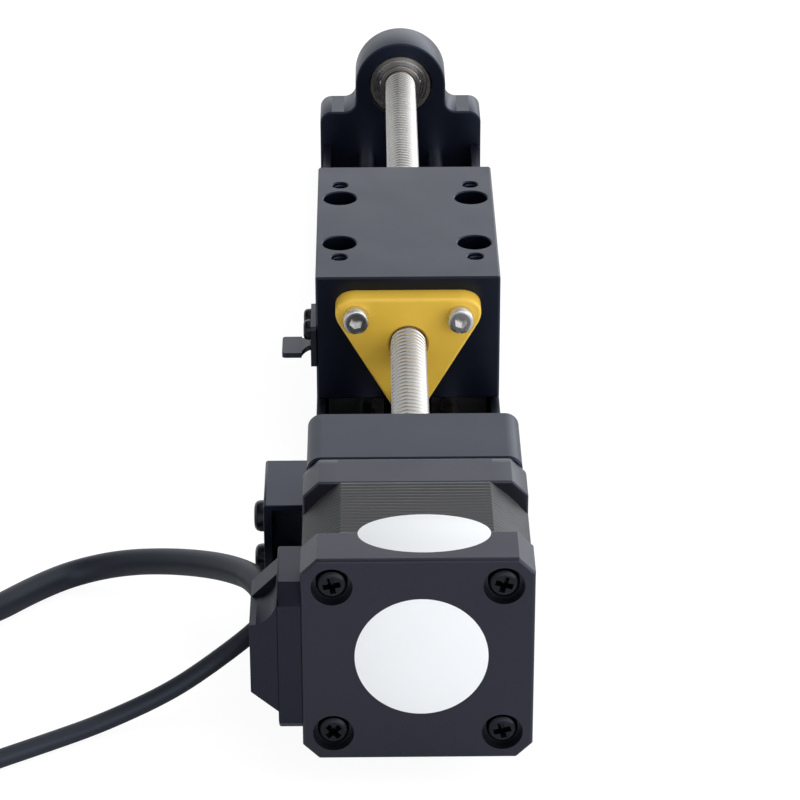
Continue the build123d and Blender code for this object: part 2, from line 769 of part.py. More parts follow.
# Sensor flag: a bent sheet on the carriage's side with a tongue that enters the sensor
plate_face = -carriage_side + flag_thickness
tongue_low = sensor_height - flag_thickness / 2
tongue_high = sensor_height + flag_thickness / 2
with BuildPart() as sensor_flag:
    with BuildSketch(facing_left(carriage_side, flag_plate_middle, flag_plate_bottom + flag_plate_height / 2)):
        RectangleRounded(flag_plate_length, flag_plate_height, flag_corner)
    extrude(amount=flag_thickness)
    with BuildSketch(upright(carriage_front, 0)):
        with BuildLine():
            Polyline(
                (-plate_face + flag_thickness / 2, tongue_low + flag_rise),
                (-plate_face, tongue_low + flag_rise),
                (-flag_knee, tongue_low),
                (-flag_tip, tongue_low),
                (-flag_tip, tongue_high),
                (-flag_knee, tongue_high),
                (-plate_face, tongue_high + flag_rise),
                (-plate_face + flag_thickness / 2, tongue_high + flag_rise),
                close=True,
            )
        make_face()
    extrude(amount=-flag_tongue_length)
    # The neck is narrower than the tongue, with a round inside corner
    neck_front = carriage_front + (flag_tongue_length - flag_neck_length) / 2
    neck_back = neck_front + flag_neck_length
    with BuildSketch(level(tongue_low)):
        for edge, side in ((neck_front, -1), (neck_back, 1)):
            with Locations((-(plate_face + flag_knee) / 2, edge + side * flag_tongue_length / 2)):
                SlotOverall(flag_tongue_length, flag_knee - plate_face, rotation=90)
    extrude(amount=flag_rise + flag_thickness, mode=Mode.SUBTRACT)
    tongue_corners = (
        sensor_flag.edges().filter_by(Axis.Z).filter_by_position(Axis.X, -flag_tip - touch_gap, -flag_tip + touch_gap)
    )
    fillet(tongue_corners, flag_corner)
    with BuildSketch(facing_left(carriage_side, flag_plate_middle, flag_screw_height)):
        with Locations(*pair(flag_screw_spacing)):
            Circle(flag_screw_diameter / 2)
    extrude(amount=flag_thickness, mode=Mode.SUBTRACT)
keep(sensor_flag.part, "sensor_flag")

keep(
    headed_screws(
        facing_left(carriage_side - flag_thickness, flag_plate_middle, flag_screw_height),
        pair(flag_screw_spacing),
        flag_screw_diameter,
        flag_screw_head_diameter,
        flag_screw_head_height,
        flag_screw_length,
        flag_screw_head_height / 2,
    ),
    "flag_screws",
)

# Sensor bracket: sheet bent three ways round the sensor, its short leg on the motor mount
bracket_inner = mount_width / 2
bracket_height = bracket_top - bracket_bottom
with BuildPart() as sensor_bracket:
    with BuildSketch(upright(bracket_front, 0)) as bracket_outline:
        with Locations((-(bracket_outer + bracket_inner) / 2, (bracket_top + bracket_bottom) / 2)):
            Rectangle(bracket_outer - bracket_inner, bracket_height)
        fillet(bracket_outline.vertices().group_by(Axis.Y)[-1], bracket_bend)
        with Locations((-(bracket_outer + bracket_inner) / 2, (bracket_top + bracket_bottom) / 2 - bracket_sheet)):
            Rectangle(bracket_outer - bracket_inner - 2 * bracket_sheet, bracket_height, mode=Mode.SUBTRACT)
    extrude(amount=-bracket_length)
    # The inner leg ends with the mount, so the carriage's flag can pass behind it
    leg_overrun = bracket_front + bracket_length - mount_back
    with BuildSketch(level(bracket_bottom)):
        with Locations((-bracket_inner - bracket_sheet / 2, mount_back + leg_overrun / 2)):
            Rectangle(bracket_sheet, leg_overrun)
    extrude(amount=bracket_height - bracket_sheet, mode=Mode.SUBTRACT)
    with BuildSketch(facing_left(-bracket_inner, bracket_leg_middle, sensor_height)):
        with Locations(*pair(0, bracket_screw_spread)):
            Circle(bracket_screw_diameter / 2)
    extrude(amount=bracket_sheet, mode=Mode.SUBTRACT)
    for x, z in pair(0, bracket_screw_spread):
        with Locations(facing_left(-bracket_inner - bracket_sheet, bracket_leg_middle, sensor_height + z)):
            CounterSinkHole(
                bracket_screw_diameter / 2, bracket_screw_head_diameter / 2, bracket_sheet, 90
            )
    sensor_screw_place = sensor_front + sensor_screw_setback
    with BuildSketch(facing_left(-bracket_outer + bracket_sheet, sensor_screw_place, sensor_height)):
        with Locations(*pair(0, sensor_screw_spread)):
            Circle(sensor_screw_diameter / 2)
    extrude(amount=bracket_sheet, mode=Mode.SUBTRACT)
keep(sensor_bracket.part, "sensor_bracket")

keep(
    flat_screws(
        facing_left(-bracket_inner - bracket_sheet, bracket_leg_middle, sensor_height),
        pair(0, bracket_screw_spread),
        bracket_screw_diameter,
        bracket_screw_head_diameter,
        bracket_screw_length,
    ),
    "bracket_screws",
)

# Home sensor: a block with two arms that the flag's tongue passes between
sensor_outside = bracket_outer - bracket_sheet
sensor_inside = bracket_inner + bracket_sheet + sensor_side_gap
arm_offset = (sensor_slot + sensor_arm_height) / 2
arm_start = sensor_front + sensor_body_length
with BuildPart() as home_sensor:
    with BuildSketch(facing_left(-sensor_inside, sensor_front + sensor_body_length / 2, sensor_height)):
        Rectangle(sensor_body_length, sensor_body_height)
    extrude(amount=sensor_outside - sensor_inside)
    with BuildSketch(facing_left(-sensor_outside + sensor_arm_width, arm_start + sensor_arm_length / 2, sensor_height)):
        with Locations((0, arm_offset), (0, -arm_offset)):
            Rectangle(sensor_arm_length, sensor_arm_height)
    extrude(amount=sensor_arm_width)
    chamfer(home_sensor.faces().sort_by(Axis.Y)[-1].edges(), edge_break)
    with BuildSketch(exit_plane(sensor_cable_route)):
        Circle(sensor_gland_diameter / 2)
    extrude(amount=-sensor_gland_length)
    with BuildSketch(facing_left(-sensor_outside, sensor_screw_place, sensor_height)):
        with Locations(*pair(0, sensor_screw_spread)):
            Circle(sensor_screw_diameter / 2)
    extrude(amount=-(sensor_screw_length - bracket_sheet), mode=Mode.SUBTRACT)
keep(home_sensor.part, "home_sensor")

keep(
    headed_screws(
        facing_left(-bracket_outer, sensor_screw_place, sensor_height),
        pair(0, sensor_screw_spread),
        sensor_screw_diameter,
        sensor_screw_head_diameter,
        sensor_screw_head_height,
        sensor_screw_length,
        sensor_screw_head_height / 2,
    ),
    "sensor_screws",
)

# Lead cover: a moulding on the motor's left side with a stepped, sloping outline
cover_inner = motor_width / 2
with BuildPart() as lead_cover:
    with BuildSketch(upright(cover_front, 0)):
        with BuildLine():
            Polyline(
                (-cover_inner, cover_bottom),
                (-cover_step, cover_bottom),
                (-cover_step, cover_top),
                (-cover_inner, cover_top),
                close=True,
            )
        make_face()
    extrude(amount=-cover_length)
    top_front = lead_cover.edges().filter_by(Axis.X).group_by(Axis.Z)[-1].sort_by(Axis.Y)[0]
    chamfer(top_front, cover_chamfer)
    bottom_front = lead_cover.edges().filter_by(Axis.X).group_by(Axis.Z)[0].sort_by(Axis.Y)[0]
    chamfer(bottom_front, cover_bevel)
    with BuildSketch(upright(cover_front, 0)):
        with BuildLine():
            Polyline(
                (-cover_step, cover_foot_low),
                (-cover_outer, cover_foot_top),
                (-cover_outer, cover_slope_low),
                (-cover_step, cover_slope_top),
                close=True,
            )
        make_face()
    extrude(amount=-cover_length)
    # A cove along the slope's front edge
    slope_run = cover_outer - cover_step
    slope_rise = cover_slope_top - cover_slope_low
    slope_length = math.hypot(slope_run, slope_rise)
    cove_origin = (-cover_step, cover_front, cover_slope_top + cover_scoop_radius / 3)
    cove = Plane(origin=cove_origin, x_dir=(0, 1, 0), z_dir=(-slope_run, 0, -slope_rise))
    with BuildSketch(cove):
        Circle(cover_scoop_radius)
    extrude(amount=2 * slope_length, mode=Mode.SUBTRACT)
    # The tapered gland that the cable leaves through
    gland_tip = exit_plane(motor_cable_route)
    with BuildSketch(gland_tip):
        Circle(cover_gland_tip_diameter / 2)
    with BuildSketch(gland_tip.offset(-cover_gland_length)):
        Circle(cover_gland_diameter / 2)
    loft()
keep(lead_cover.part, "lead_cover")


def bend_radii(points):
    """The radius at each corner of a cord: 0.45 of the shorter run over the tangent of half the turn."""
    radii = []
    for before, here, after in zip(points, points[1:], points[2:]):
        first = Vector(*here) - Vector(*before)
        second = Vector(*after) - Vector(*here)
        half_turn = math.radians(first.get_angle(second)) / 2
        radii.append(0.45 * min(first.length, second.length) / math.tan(half_turn))
    return radii


def cord(points, diameter):
    """A plain tube along straight runs joined by tangent arcs."""
    radii = bend_radii(points)
    with BuildPart() as tube:
        with BuildLine() as path:
            FilletPolyline(*points, radius=radii)
        middle_line = path.wires()[0]
        with BuildSketch(Plane(origin=middle_line @ 0, z_dir=middle_line % 0)):
            Circle(diameter / 2)
        sweep(path=middle_line)
    expected = math.pi * diameter**2 / 4 * middle_line.length
    print("bend radii in diameters", [round(r / diameter, 1) for r in radii])
    print("tube length", round(middle_line.length, 1), "volume ratio", round(tube.part.volume / expected, 4))
    return tube.part


def coil_centre(points, diameter, cord_diameter, turns):
    """The middle of a flat coil whose outer turn carries on from the route's last run, bending to the right."""
    last = Vector(*points[-1])
    heading = (last - Vector(*points[-2])).normalized()
    outer_turn = (diameter + (turns - 1) * cord_diameter) / 2
    return (last.X + heading.Y * outer_turn, last.Y - heading.X * outer_turn)


def coil(middle, diameter, cord_diameter, turns):
    """The outer shape of a flat coil, its turns side by side."""
    half_width = turns * cord_diameter / 2
    with BuildPart() as ring:
        with BuildSketch(level(0)):
            with Locations(middle):
                Circle(diameter / 2 + half_width)
                Circle(diameter / 2 - half_width, mode=Mode.SUBTRACT)
        extrude(amount=cord_diameter)
        fillet(ring.edges(), cord_diameter / 3)
    return ring.part


def plug(middle, diameter, cord_diameter, turns, size):
    """A small crimp connector inside a coil, lying along the innermost turn with its corners against it."""
    width, length, height = size
    inner = (diameter - turns * cord_diameter) / 2
    reach = math.sqrt(inner**2 - (length / 2) ** 2) - touch_gap
    with BuildPart() as shell:
        with BuildSketch(level(0)):
            with Locations((middle[0] + reach - width / 2, middle[1])):
                Rectangle(width, length)
        extrude(amount=height)
        chamfer(shell.edges().filter_by(Axis.Y), edge_break)
    return shell.part


# Cables: the loose stretch, the coil of the rest, and a connector on the end of each
keep(cord(motor_cable_route, motor_cable_diameter), "motor_cable")
motor_coil = (motor_coil_diameter, motor_cable_diameter, motor_coil_turns)
motor_coil_middle = coil_centre(motor_cable_route, *motor_coil)
keep(coil(motor_coil_middle, *motor_coil), "motor_cable_coil")
keep(plug(motor_coil_middle, *motor_coil, motor_plug_size), "motor_plug")

keep(cord(sensor_cable_route, sensor_cable_diameter), "sensor_cable")
sensor_coil = (sensor_coil_diameter, sensor_cable_diameter, sensor_coil_turns)
sensor_coil_middle = coil_centre(sensor_cable_route, *sensor_coil)
keep(coil(sensor_coil_middle, *sensor_coil), "sensor_cable_coil")
keep(plug(sensor_coil_middle, *sensor_coil, sensor_plug_size), "sensor_plug")
print("coil middles", motor_coil_middle, sensor_coil_middle)
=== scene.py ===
# %% [markdown]
# # A stepper linear actuator
# The actuator is a motor that turns a long screw, and a drilled block that rides along it.
# The CAD model gives every solid in place. This lesson gives the surfaces their finish and adds
# what is too fine for the solids: threads, drive recesses, labels, cable jackets and grooves.

import bpy
import bmesh
import json
import math
from mathutils import Matrix, Vector


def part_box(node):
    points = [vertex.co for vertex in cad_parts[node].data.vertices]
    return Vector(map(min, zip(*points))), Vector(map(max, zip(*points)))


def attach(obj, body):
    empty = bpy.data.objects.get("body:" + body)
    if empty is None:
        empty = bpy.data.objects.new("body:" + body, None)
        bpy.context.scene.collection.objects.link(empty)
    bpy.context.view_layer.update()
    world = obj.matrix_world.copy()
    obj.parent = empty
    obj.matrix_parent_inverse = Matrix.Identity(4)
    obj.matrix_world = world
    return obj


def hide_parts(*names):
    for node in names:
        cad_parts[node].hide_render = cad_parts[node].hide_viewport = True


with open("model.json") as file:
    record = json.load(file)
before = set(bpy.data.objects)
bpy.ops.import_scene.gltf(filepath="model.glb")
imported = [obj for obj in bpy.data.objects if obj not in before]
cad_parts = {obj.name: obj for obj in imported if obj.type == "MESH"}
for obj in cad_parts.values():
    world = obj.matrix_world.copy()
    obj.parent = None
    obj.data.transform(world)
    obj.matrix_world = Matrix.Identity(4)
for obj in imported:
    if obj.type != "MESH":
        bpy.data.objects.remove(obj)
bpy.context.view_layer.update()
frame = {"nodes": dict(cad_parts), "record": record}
nodes = frame["nodes"]

# %% [markdown]
# ## The camera
# The photograph looks down the screw from behind the motor, from well above it. The camera's
# place, tilt and lens were worked out from edges of known size, so a long lens stands far back.

# %% Place the camera
scene = bpy.context.scene
camera_place = Vector((-0.008143, -0.659461, 0.333225))
camera_lens = 143.464
camera_pitch, camera_yaw, camera_roll = (math.radians(a) for a in (27.17, 0.58, -0.13))

forward = Vector(
    (
        math.sin(camera_yaw) * math.cos(camera_pitch),
        math.cos(camera_yaw) * math.cos(camera_pitch),
        -math.sin(camera_pitch),
    )
)
level_right = Vector((math.cos(camera_yaw), -math.sin(camera_yaw), 0))
level_up = level_right.cross(forward)
right = level_right * math.cos(camera_roll) + level_up * math.sin(camera_roll)
up = level_up * math.cos(camera_roll) - level_right * math.sin(camera_roll)

camera_data = bpy.data.cameras.new("camera")
camera_data.lens = camera_lens
camera_data.sensor_width = 36
camera_data.clip_end = 20
camera = bpy.data.objects.new("camera", camera_data)
turn = Matrix((right, up, -forward)).transposed()
camera.matrix_world = Matrix.Translation(camera_place) @ turn.to_4x4()
scene.collection.objects.link(camera)
scene.camera = camera
scene.view_settings.view_transform = "Standard"
print("camera", [round(v, 3) for v in camera.location])

# %% [markdown]
# ## Helpers
# Each new piece is a bmesh that becomes an object at the origin, with its place in its mesh.
# Lengths in this file are in millimetres, as on a drawing, and are scaled to metres at the end.
# Shading is set here too. A flat face whose neighbour is a small bevel would take a false gradient
# if it were smooth, so large faces stay flat, and only edges under a given angle are softened.

# %% Turn a bmesh into a piece
MM = 0.001
largest_smooth = 30.0  # square millimetres


def finish_piece(bm, name, body, material, smooth_angle=35):
    """Merge, scale to metres, shade and hang the piece on its body."""
    bmesh.ops.remove_doubles(bm, verts=bm.verts, dist=0.0005)
    bmesh.ops.recalc_face_normals(bm, faces=bm.faces)
    for face in bm.faces:
        face.smooth = len(face.verts) <= 4 and face.calc_area() < largest_smooth
    for edge in bm.edges:
        gentle = edge.calc_face_angle(0) < math.radians(smooth_angle)
        edge.smooth = len(edge.link_faces) != 2 or gentle
    bmesh.ops.scale(bm, vec=(MM, MM, MM), verts=bm.verts)
    mesh = bpy.data.meshes.new(name)
    bm.to_mesh(mesh)
    bm.free()
    mesh.materials.append(material)
    piece = bpy.data.objects.new(name, mesh)
    scene.collection.objects.link(piece)
    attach(piece, body)
    print(name, len(mesh.polygons), "faces")
    return piece


# %% Helpers that turn a profile and lay it down
axis_height = 27.0  # of the lead screw, above the base's underside


def turned(bm, profile, steps=48):
    """Spin a profile of (radius, height) points all round the upright axis."""
    made = [bm.verts.new((radius, 0, height)) for radius, height in profile]
    edges = [bm.edges.new(ends) for ends in zip(made, made[1:])]
    bmesh.ops.spin(
        bm,
        geom=made + edges,
        cent=(0, 0, 0),
        axis=(0, 0, 1),
        angle=2 * math.pi,
        steps=steps,
        use_merge=True,
        use_duplicate=False,
    )
    bmesh.ops.remove_doubles(bm, verts=bm.verts, dist=0.0005)


def lay(bm, verts, place, facing):
    """Move what was made upright at the origin to its place, with its height facing a given way."""
    rotation = Vector((0, 0, 1)).rotation_difference(Vector(facing)).to_matrix().to_4x4()
    bmesh.ops.transform(bm, matrix=Matrix.Translation(place) @ rotation, verts=verts)


# %% [markdown]
# ## Finishes
# Most of this object is black, and black metal is seen by what it mirrors. So each finish is set
# by how rough it is, with fine grain in the bump and slow changes in the roughness. Anodised
# metal throws back a slightly blue light, which the specular tint gives without a blue paint.

# %% A helper for finishes
def noise(tree, place, scale, detail):
    """A noise on the object's own coordinates."""
    texture = tree.nodes.new("ShaderNodeTexNoise")
    texture.inputs["Scale"].default_value = scale
    texture.inputs["Detail"].default_value = detail
    tree.links.new(place.outputs["Object"], texture.inputs["Vector"])
    return texture


def mapped(tree, value, from_range, to_range, curve="LINEAR"):
    """A value carried over from one range to another."""
    node = tree.nodes.new("ShaderNodeMapRange")
    node.interpolation_type = curve
    node.inputs["From Min"].default_value, node.inputs["From Max"].default_value = from_range
    node.inputs["To Min"].default_value, node.inputs["To Max"].default_value = to_range
    tree.links.new(value, node.inputs["Value"])
    return node.outputs["Result"]


def finish(
    name,
    color,
    roughness,
    metallic=0.0,
    grain=2000,
    bump=0.05,
    mottle=0.06,
    mottle_scale=90,
    specular=0.5,
    sheen_of=(1, 1, 1),
):
    """A surface with fine grain, and slow changes of roughness and colour."""
    material = bpy.data.materials.new(name)
    material.use_nodes = True
    tree = material.node_tree
    shader = tree.nodes["Principled BSDF"]
    shader.inputs["Metallic"].default_value = metallic
    shader.inputs["Specular IOR Level"].default_value = specular
    shader.inputs["Specular Tint"].default_value = (*sheen_of, 1)
    place = tree.nodes.new("ShaderNodeTexCoord")
    # slow mottling of roughness and colour
    slow = noise(tree, place, mottle_scale, 3)
    roughest = (max(roughness - mottle, 0.02), min(roughness + mottle, 1.0))
    spread = mapped(tree, slow.outputs["Fac"], (0.3, 0.7), roughest)
    tree.links.new(spread, shader.inputs["Roughness"])
    tint = tree.nodes.new("ShaderNodeMix")
    tint.data_type = "RGBA"
    tint.inputs["A"].default_value = tuple(c * 0.9 for c in color) + (1,)
    tint.inputs["B"].default_value = tuple(min(c * 1.1, 1) for c in color) + (1,)
    tree.links.new(slow.outputs["Fac"], tint.inputs["Factor"])
    tree.links.new(tint.outputs["Result"], shader.inputs["Base Color"])
    # fine grain in the bump
    fine = noise(tree, place, grain, 2)
    relief = tree.nodes.new("ShaderNodeBump")
    relief.inputs["Strength"].default_value = bump
    relief.inputs["Distance"].default_value = 0.0001
    tree.links.new(fine.outputs["Fac"], relief.inputs["Height"])
    tree.links.new(relief.outputs["Normal"], shader.inputs["Normal"])
    return material


# %% The black finishes
black_anodised = finish(
    "black_anodised",
    (0.0010, 0.0018, 0.0050),
    0.34,
    grain=5200,
    bump=0.10,
    mottle=0.03,
    specular=0.51,
    sheen_of=(0.58, 0.68, 1.0),
)
motor_paint = finish(
    "motor_paint",
    (0.008, 0.008, 0.011),
    0.30,
    grain=1500,
    bump=0.06,
    mottle=0.06,
    mottle_scale=60,
    specular=0.56,
    sheen_of=(0.74, 0.76, 1.0),
)
black_plastic = finish(
    "black_plastic",
    (0.001, 0.0015, 0.004),
    0.40,
    grain=3600,
    bump=0.14,
    mottle=0.04,
    specular=0.46,
    sheen_of=(0.70, 0.72, 1.0),
)
black_oxide_steel = finish(
    "black_oxide_steel",
    (0.001, 0.001, 0.002),
    0.26,
    grain=2600,
    bump=0.06,
    mottle=0.06,
    specular=0.34,
    sheen_of=(0.8, 0.85, 1.0),
)
cable_jacket = finish(
    "cable_jacket",
    (0.009, 0.010, 0.014),
    0.50,
    grain=900,
    bump=0.05,
    mottle=0.05,
    mottle_scale=60,
    sheen_of=(0.72, 0.82, 1.0),
)
print("finishes so far", len(bpy.data.materials))

# %% The bare metals
ground_steel = finish(
    "ground_steel", (0.60, 0.58, 0.55), 0.22, metallic=1.0, grain=4000, bump=0.04, mottle=0.04
)
bearing_steel = finish(
    "bearing_steel", (0.36, 0.33, 0.31), 0.28, metallic=1.0, grain=3000, bump=0.03, mottle=0.05
)
stainless_steel = finish(
    "stainless_steel", (0.70, 0.69, 0.68), 0.26, metallic=1.0, grain=2500, bump=0.05, mottle=0.05
)
zinc_steel = finish("zinc_steel", (0.46, 0.46, 0.47), 0.26, metallic=1.0, grain=1800, bump=0.04)
rotor_iron = finish("rotor_iron", (0.28, 0.28, 0.29), 0.45, metallic=1.0, grain=1200, bump=0.2)
copper_winding = finish(
    "copper_winding", (0.55, 0.20, 0.07), 0.30, metallic=1.0, grain=900, bump=0.3
)
print("finishes so far", len(bpy.data.materials))

# %% The polymers, the magnet and the paper
nut_polymer = finish(
    "nut_polymer", (0.88, 0.55, 0.060), 0.40, grain=2400, bump=0.05, mottle=0.05
)
shoe_polymer = finish("shoe_polymer", (0.02, 0.02, 0.022), 0.5, grain=2500, bump=0.08)
connector_nylon = finish("connector_nylon", (0.72, 0.70, 0.62), 0.42, grain=1800, bump=0.05)
magnet_gray = finish("magnet_gray", (0.10, 0.10, 0.105), 0.5, grain=1500, bump=0.15)
label_white = finish(
    "label_white", (0.90, 0.91, 0.915), 0.42, grain=900, bump=0.01, mottle=0.01, mottle_scale=20
)
print("finishes", len(bpy.data.materials))

# %% [markdown]
# ## Laminations
# The middle of the motor is a stack of thin sheets. Their edges show as fine lines round the
# motor, so the finish of the stack has bands across the motor's length, in its bump.

# %% A banded finish for the stack
sheet_pitch = 1.1
lamination_black = finish(
    "lamination_black",
    (0.011, 0.010, 0.012),
    0.44,
    grain=1600,
    bump=0.1,
    mottle=0.05,
    specular=0.75,
)
tree = lamination_black.node_tree
shader = tree.nodes["Principled BSDF"]
bands = tree.nodes.new("ShaderNodeTexWave")
bands.wave_type = "BANDS"
bands.bands_direction = "Y"
bands.inputs["Scale"].default_value = 2 * math.pi / (20 * sheet_pitch * MM)
bands.inputs["Distortion"].default_value = 0.6
bands.inputs["Detail"].default_value = 2
bands.inputs["Detail Scale"].default_value = 1.5
place = [n for n in tree.nodes if n.bl_idname == "ShaderNodeTexCoord"][0]
tree.links.new(place.outputs["Object"], bands.inputs["Vector"])
ridges = tree.nodes.new("ShaderNodeBump")
ridges.inputs["Strength"].default_value = 0.35
ridges.inputs["Distance"].default_value = 0.0002
tree.links.new(bands.outputs["Fac"], ridges.inputs["Height"])
grain_relief = [n for n in tree.nodes if n.bl_idname == "ShaderNodeBump" and n != ridges][0]
tree.links.new(grain_relief.outputs["Normal"], ridges.inputs["Normal"])
tree.links.new(ridges.outputs["Normal"], shader.inputs["Normal"])
print("one sheet every", sheet_pitch, "mm")

# %% [markdown]
# ## Finishes on the CAD solids
# A CAD solid whose shape is right keeps its mesh and only gets its finish, by the material slot
# that the record names for it.

# %% Give every solid its finish
finish_of_slot = {
    "black_anodised": black_anodised,
    "motor_paint": motor_paint,
    "laminations": lamination_black,
    "ground_steel": ground_steel,
    "bearing_steel": bearing_steel,
    "stainless_steel": stainless_steel,
    "zinc_steel": zinc_steel,
    "black_oxide_steel": black_oxide_steel,
    "nut_polymer": nut_polymer,
    "shoe_polymer": shoe_polymer,
    "black_plastic": black_plastic,
    "copper_winding": copper_winding,
    "rotor_iron": rotor_iron,
    "magnet": magnet_gray,
    "cable_jacket": cable_jacket,
    "connector_white": connector_nylon,
}
for entry in frame["record"]["subparts"]:
    solid = nodes[entry["node"]]
    solid.data.materials.clear()
    solid.data.materials.append(finish_of_slot[entry["material_slot"]])

# %% [markdown]
# ## The cables
# Both cables are round and fairly soft. Each leaves a tapered gland, drops to the table and runs
# out of the picture. The rest is wound flat, in turns side by side, with a small connector inside.
# A cable is one smooth curve: a NURBS spline through the air is bent wire if its points are sparse,
# so its points stand a few diameters apart, and twelve or more go into each turn of the coil.
# The points start from the CAD's tubes. Those of the motor cable were then moved, by less
# than two cable diameters, until the cord lay on the photographed one all along its arc.

# %% The cables' routes
motor_cable_diameter = 5.4
sensor_cable_diameter = 3.6
motor_cable_route = [
    (-26.8, -144.5, 24.0),
    (-28.9, -130.9, 22.7),
    (-36.0, -117.4, 18.3),
    (-46.8, -104.5, 12.4),
    (-58.6, -94.5, 6.5),
    (-69.0, -91.9, 2.7),
    (-76.8, -98.4, 2.7),
    (-85.6, -108.4, 2.7),
    (-98.7, -114.8, 2.7),
    (-110.4, -120.4, 2.7),
]
sensor_cable_route = [
    (-24.8, -119.5, 19.0),
    (-24.8, -128.5, 19.0),
    (-29.3, -136.0, 16.2),
    (-40.5, -141.4, 9.7),
    (-48.2, -143.6, 5.5),
    (-59.2, -147.0, 1.8),
    (-67.0, -152.4, 1.8),
    (-80.6, -161.0, 1.8),
    (-93.5, -169.9, 1.8),
    (-106.7, -178.4, 1.8),
]
print("route points", len(motor_cable_route), len(sensor_cable_route))


# %% Wind the rest into a flat coil
def coil_points(route, mean_diameter, cord_diameter, turns, plug_width, plug_length, per_turn=16):
    """The turns of a flat coil that carries on from a route, winding inwards, and its end."""
    last = Vector(route[-1])
    heading = (last - Vector(route[-2])).normalized()
    outer = (mean_diameter + (turns - 1) * cord_diameter) / 2
    middle = Vector((last.x + heading.y * outer, last.y - heading.x * outer, last.z))
    start = math.atan2(last.y - middle.y, last.x - middle.x)
    hole = (mean_diameter - turns * cord_diameter) / 2
    lane = math.sqrt(hole**2 - (plug_length / 2) ** 2) - 0.2 - plug_width / 2
    # the cord runs clockwise and ends to the right of the middle, where it heads towards -Y
    end_angle = math.radians(38)
    sweep = (turns - 1) * 2 * math.pi + (start - end_angle) % (2 * math.pi)
    points = []
    count = int(round(sweep / (2 * math.pi) * per_turn))
    for i in range(1, count + 1):
        done = i / count * sweep
        radius = outer - min(done / (2 * math.pi), turns - 1) * cord_diameter
        angle = start - done
        x = middle.x + radius * math.cos(angle)
        y = middle.y + radius * math.sin(angle)
        points.append((x, y, last.z))
    # a gentle change of lane from the inner turn to the plug's back end
    points.append((middle.x + lane, middle.y + plug_length / 2, last.z))
    print("coil", round(math.degrees(sweep)), "degrees,", len(points), "points")
    return points


# %% Lay the cables
def smooth_cord(name, points, diameter, material, body):
    """One open NURBS spline with a round section."""
    curve = bpy.data.curves.new(name, "CURVE")
    curve.dimensions = "3D"
    curve.bevel_depth = diameter / 2 * MM
    curve.bevel_resolution = 6
    curve.resolution_u = 10
    curve.use_fill_caps = True
    spline = curve.splines.new("NURBS")
    spline.points.add(len(points) - 1)
    for point, (x, y, z) in zip(spline.points, points):
        point.co = (x * MM, y * MM, z * MM, 1)
    spline.order_u = 3
    spline.use_endpoint_u = True
    curve.materials.append(material)
    piece = bpy.data.objects.new(name, curve)
    scene.collection.objects.link(piece)
    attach(piece, body)
    return piece


motor_coil = coil_points(motor_cable_route, 60.0, motor_cable_diameter, 2, 10.0, 16.0)
motor_lead = smooth_cord(
    "motor_lead",
    motor_cable_route + motor_coil,
    motor_cable_diameter,
    cable_jacket,
    "base",
)
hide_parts("motor_cable", "motor_cable_coil")
sensor_coil = coil_points(sensor_cable_route, 40.0, sensor_cable_diameter, 3, 8.0, 13.0)
sensor_lead = smooth_cord(
    "sensor_lead",
    sensor_cable_route + sensor_coil,
    sensor_cable_diameter,
    cable_jacket,
    "base",
)
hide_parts("sensor_cable", "sensor_cable_coil")


# %% Measure the cables
def cord_length(piece):
    """The length of a cord's centreline, measured on a copy with no section."""
    bare = piece.data.copy()
    bare.bevel_depth = 0
    probe = bpy.data.objects.new("probe", bare)
    scene.collection.objects.link(probe)
    mesh = bpy.data.meshes.new_from_object(probe)
    ends = [[mesh.vertices[i].co for i in edge.vertices] for edge in mesh.edges]
    length = sum((a - b).length for a, b in ends)
    bpy.data.objects.remove(probe)
    bpy.data.meshes.remove(mesh)
    return length


motor_lead_length = cord_length(motor_lead)
sensor_lead_length = cord_length(sensor_lead)
print("cords", round(motor_lead_length, 3), round(sensor_lead_length, 3), "m")

# %% [markdown]
# ## The lead screw
# The screw is a rolled thread with rounded flanks. One turn of the thread's outline, spun with a
# step along the screw, is copied over and over, each time with twice as many turns, because that
# is far quicker than spinning every turn. The shank and the journal are turned from the same bar.

# %% Roll one turn of a thread, then double it up
def thread(outline, pitch, turns, steps):
    """A right-hand thread along +Y, about the Y axis, from an outline of (radius, place) points."""
    bm = bmesh.new()
    row = [bm.verts.new((radius, along, 0)) for radius, along in outline]
    edges = [bm.edges.new(ends) for ends in zip(row, row[1:])]
    bmesh.ops.spin(
        bm,
        geom=row + edges,
        cent=(0, 0, 0),
        axis=(0, -1, 0),
        dvec=(0, pitch / steps, 0),
        angle=2 * math.pi,
        steps=steps,
        use_duplicate=False,
    )
    made = 1
    while made < turns:
        copied = bmesh.ops.duplicate(bm, geom=bm.verts[:] + bm.edges[:] + bm.faces[:])
        fresh = [g for g in copied["geom"] if isinstance(g, bmesh.types.BMVert)]
        bmesh.ops.translate(bm, vec=(0, made * pitch, 0), verts=fresh)
        made *= 2
    spare = [v for v in bm.verts if v.co.y > (turns + 0.5) * pitch]
    bmesh.ops.delete(bm, geom=spare, context="VERTS")
    bmesh.ops.remove_doubles(bm, verts=bm.verts, dist=0.002)
    return bm


def join(bm, other):
    """Add one bmesh to another, and let the other go."""
    holder = bpy.data.meshes.new("holder")
    other.to_mesh(holder)
    other.free()
    bm.from_mesh(holder)
    bpy.data.meshes.remove(holder)


quarter_back = Matrix.Rotation(-math.pi / 2, 3, "X")


def along_y(bm):
    """Turn what was made upright so that it lies along +Y, on the lead screw's axis."""
    bmesh.ops.rotate(bm, cent=(0, 0, 0), matrix=quarter_back, verts=bm.verts)
    bmesh.ops.translate(bm, vec=(0, 0, axis_height), verts=bm.verts)


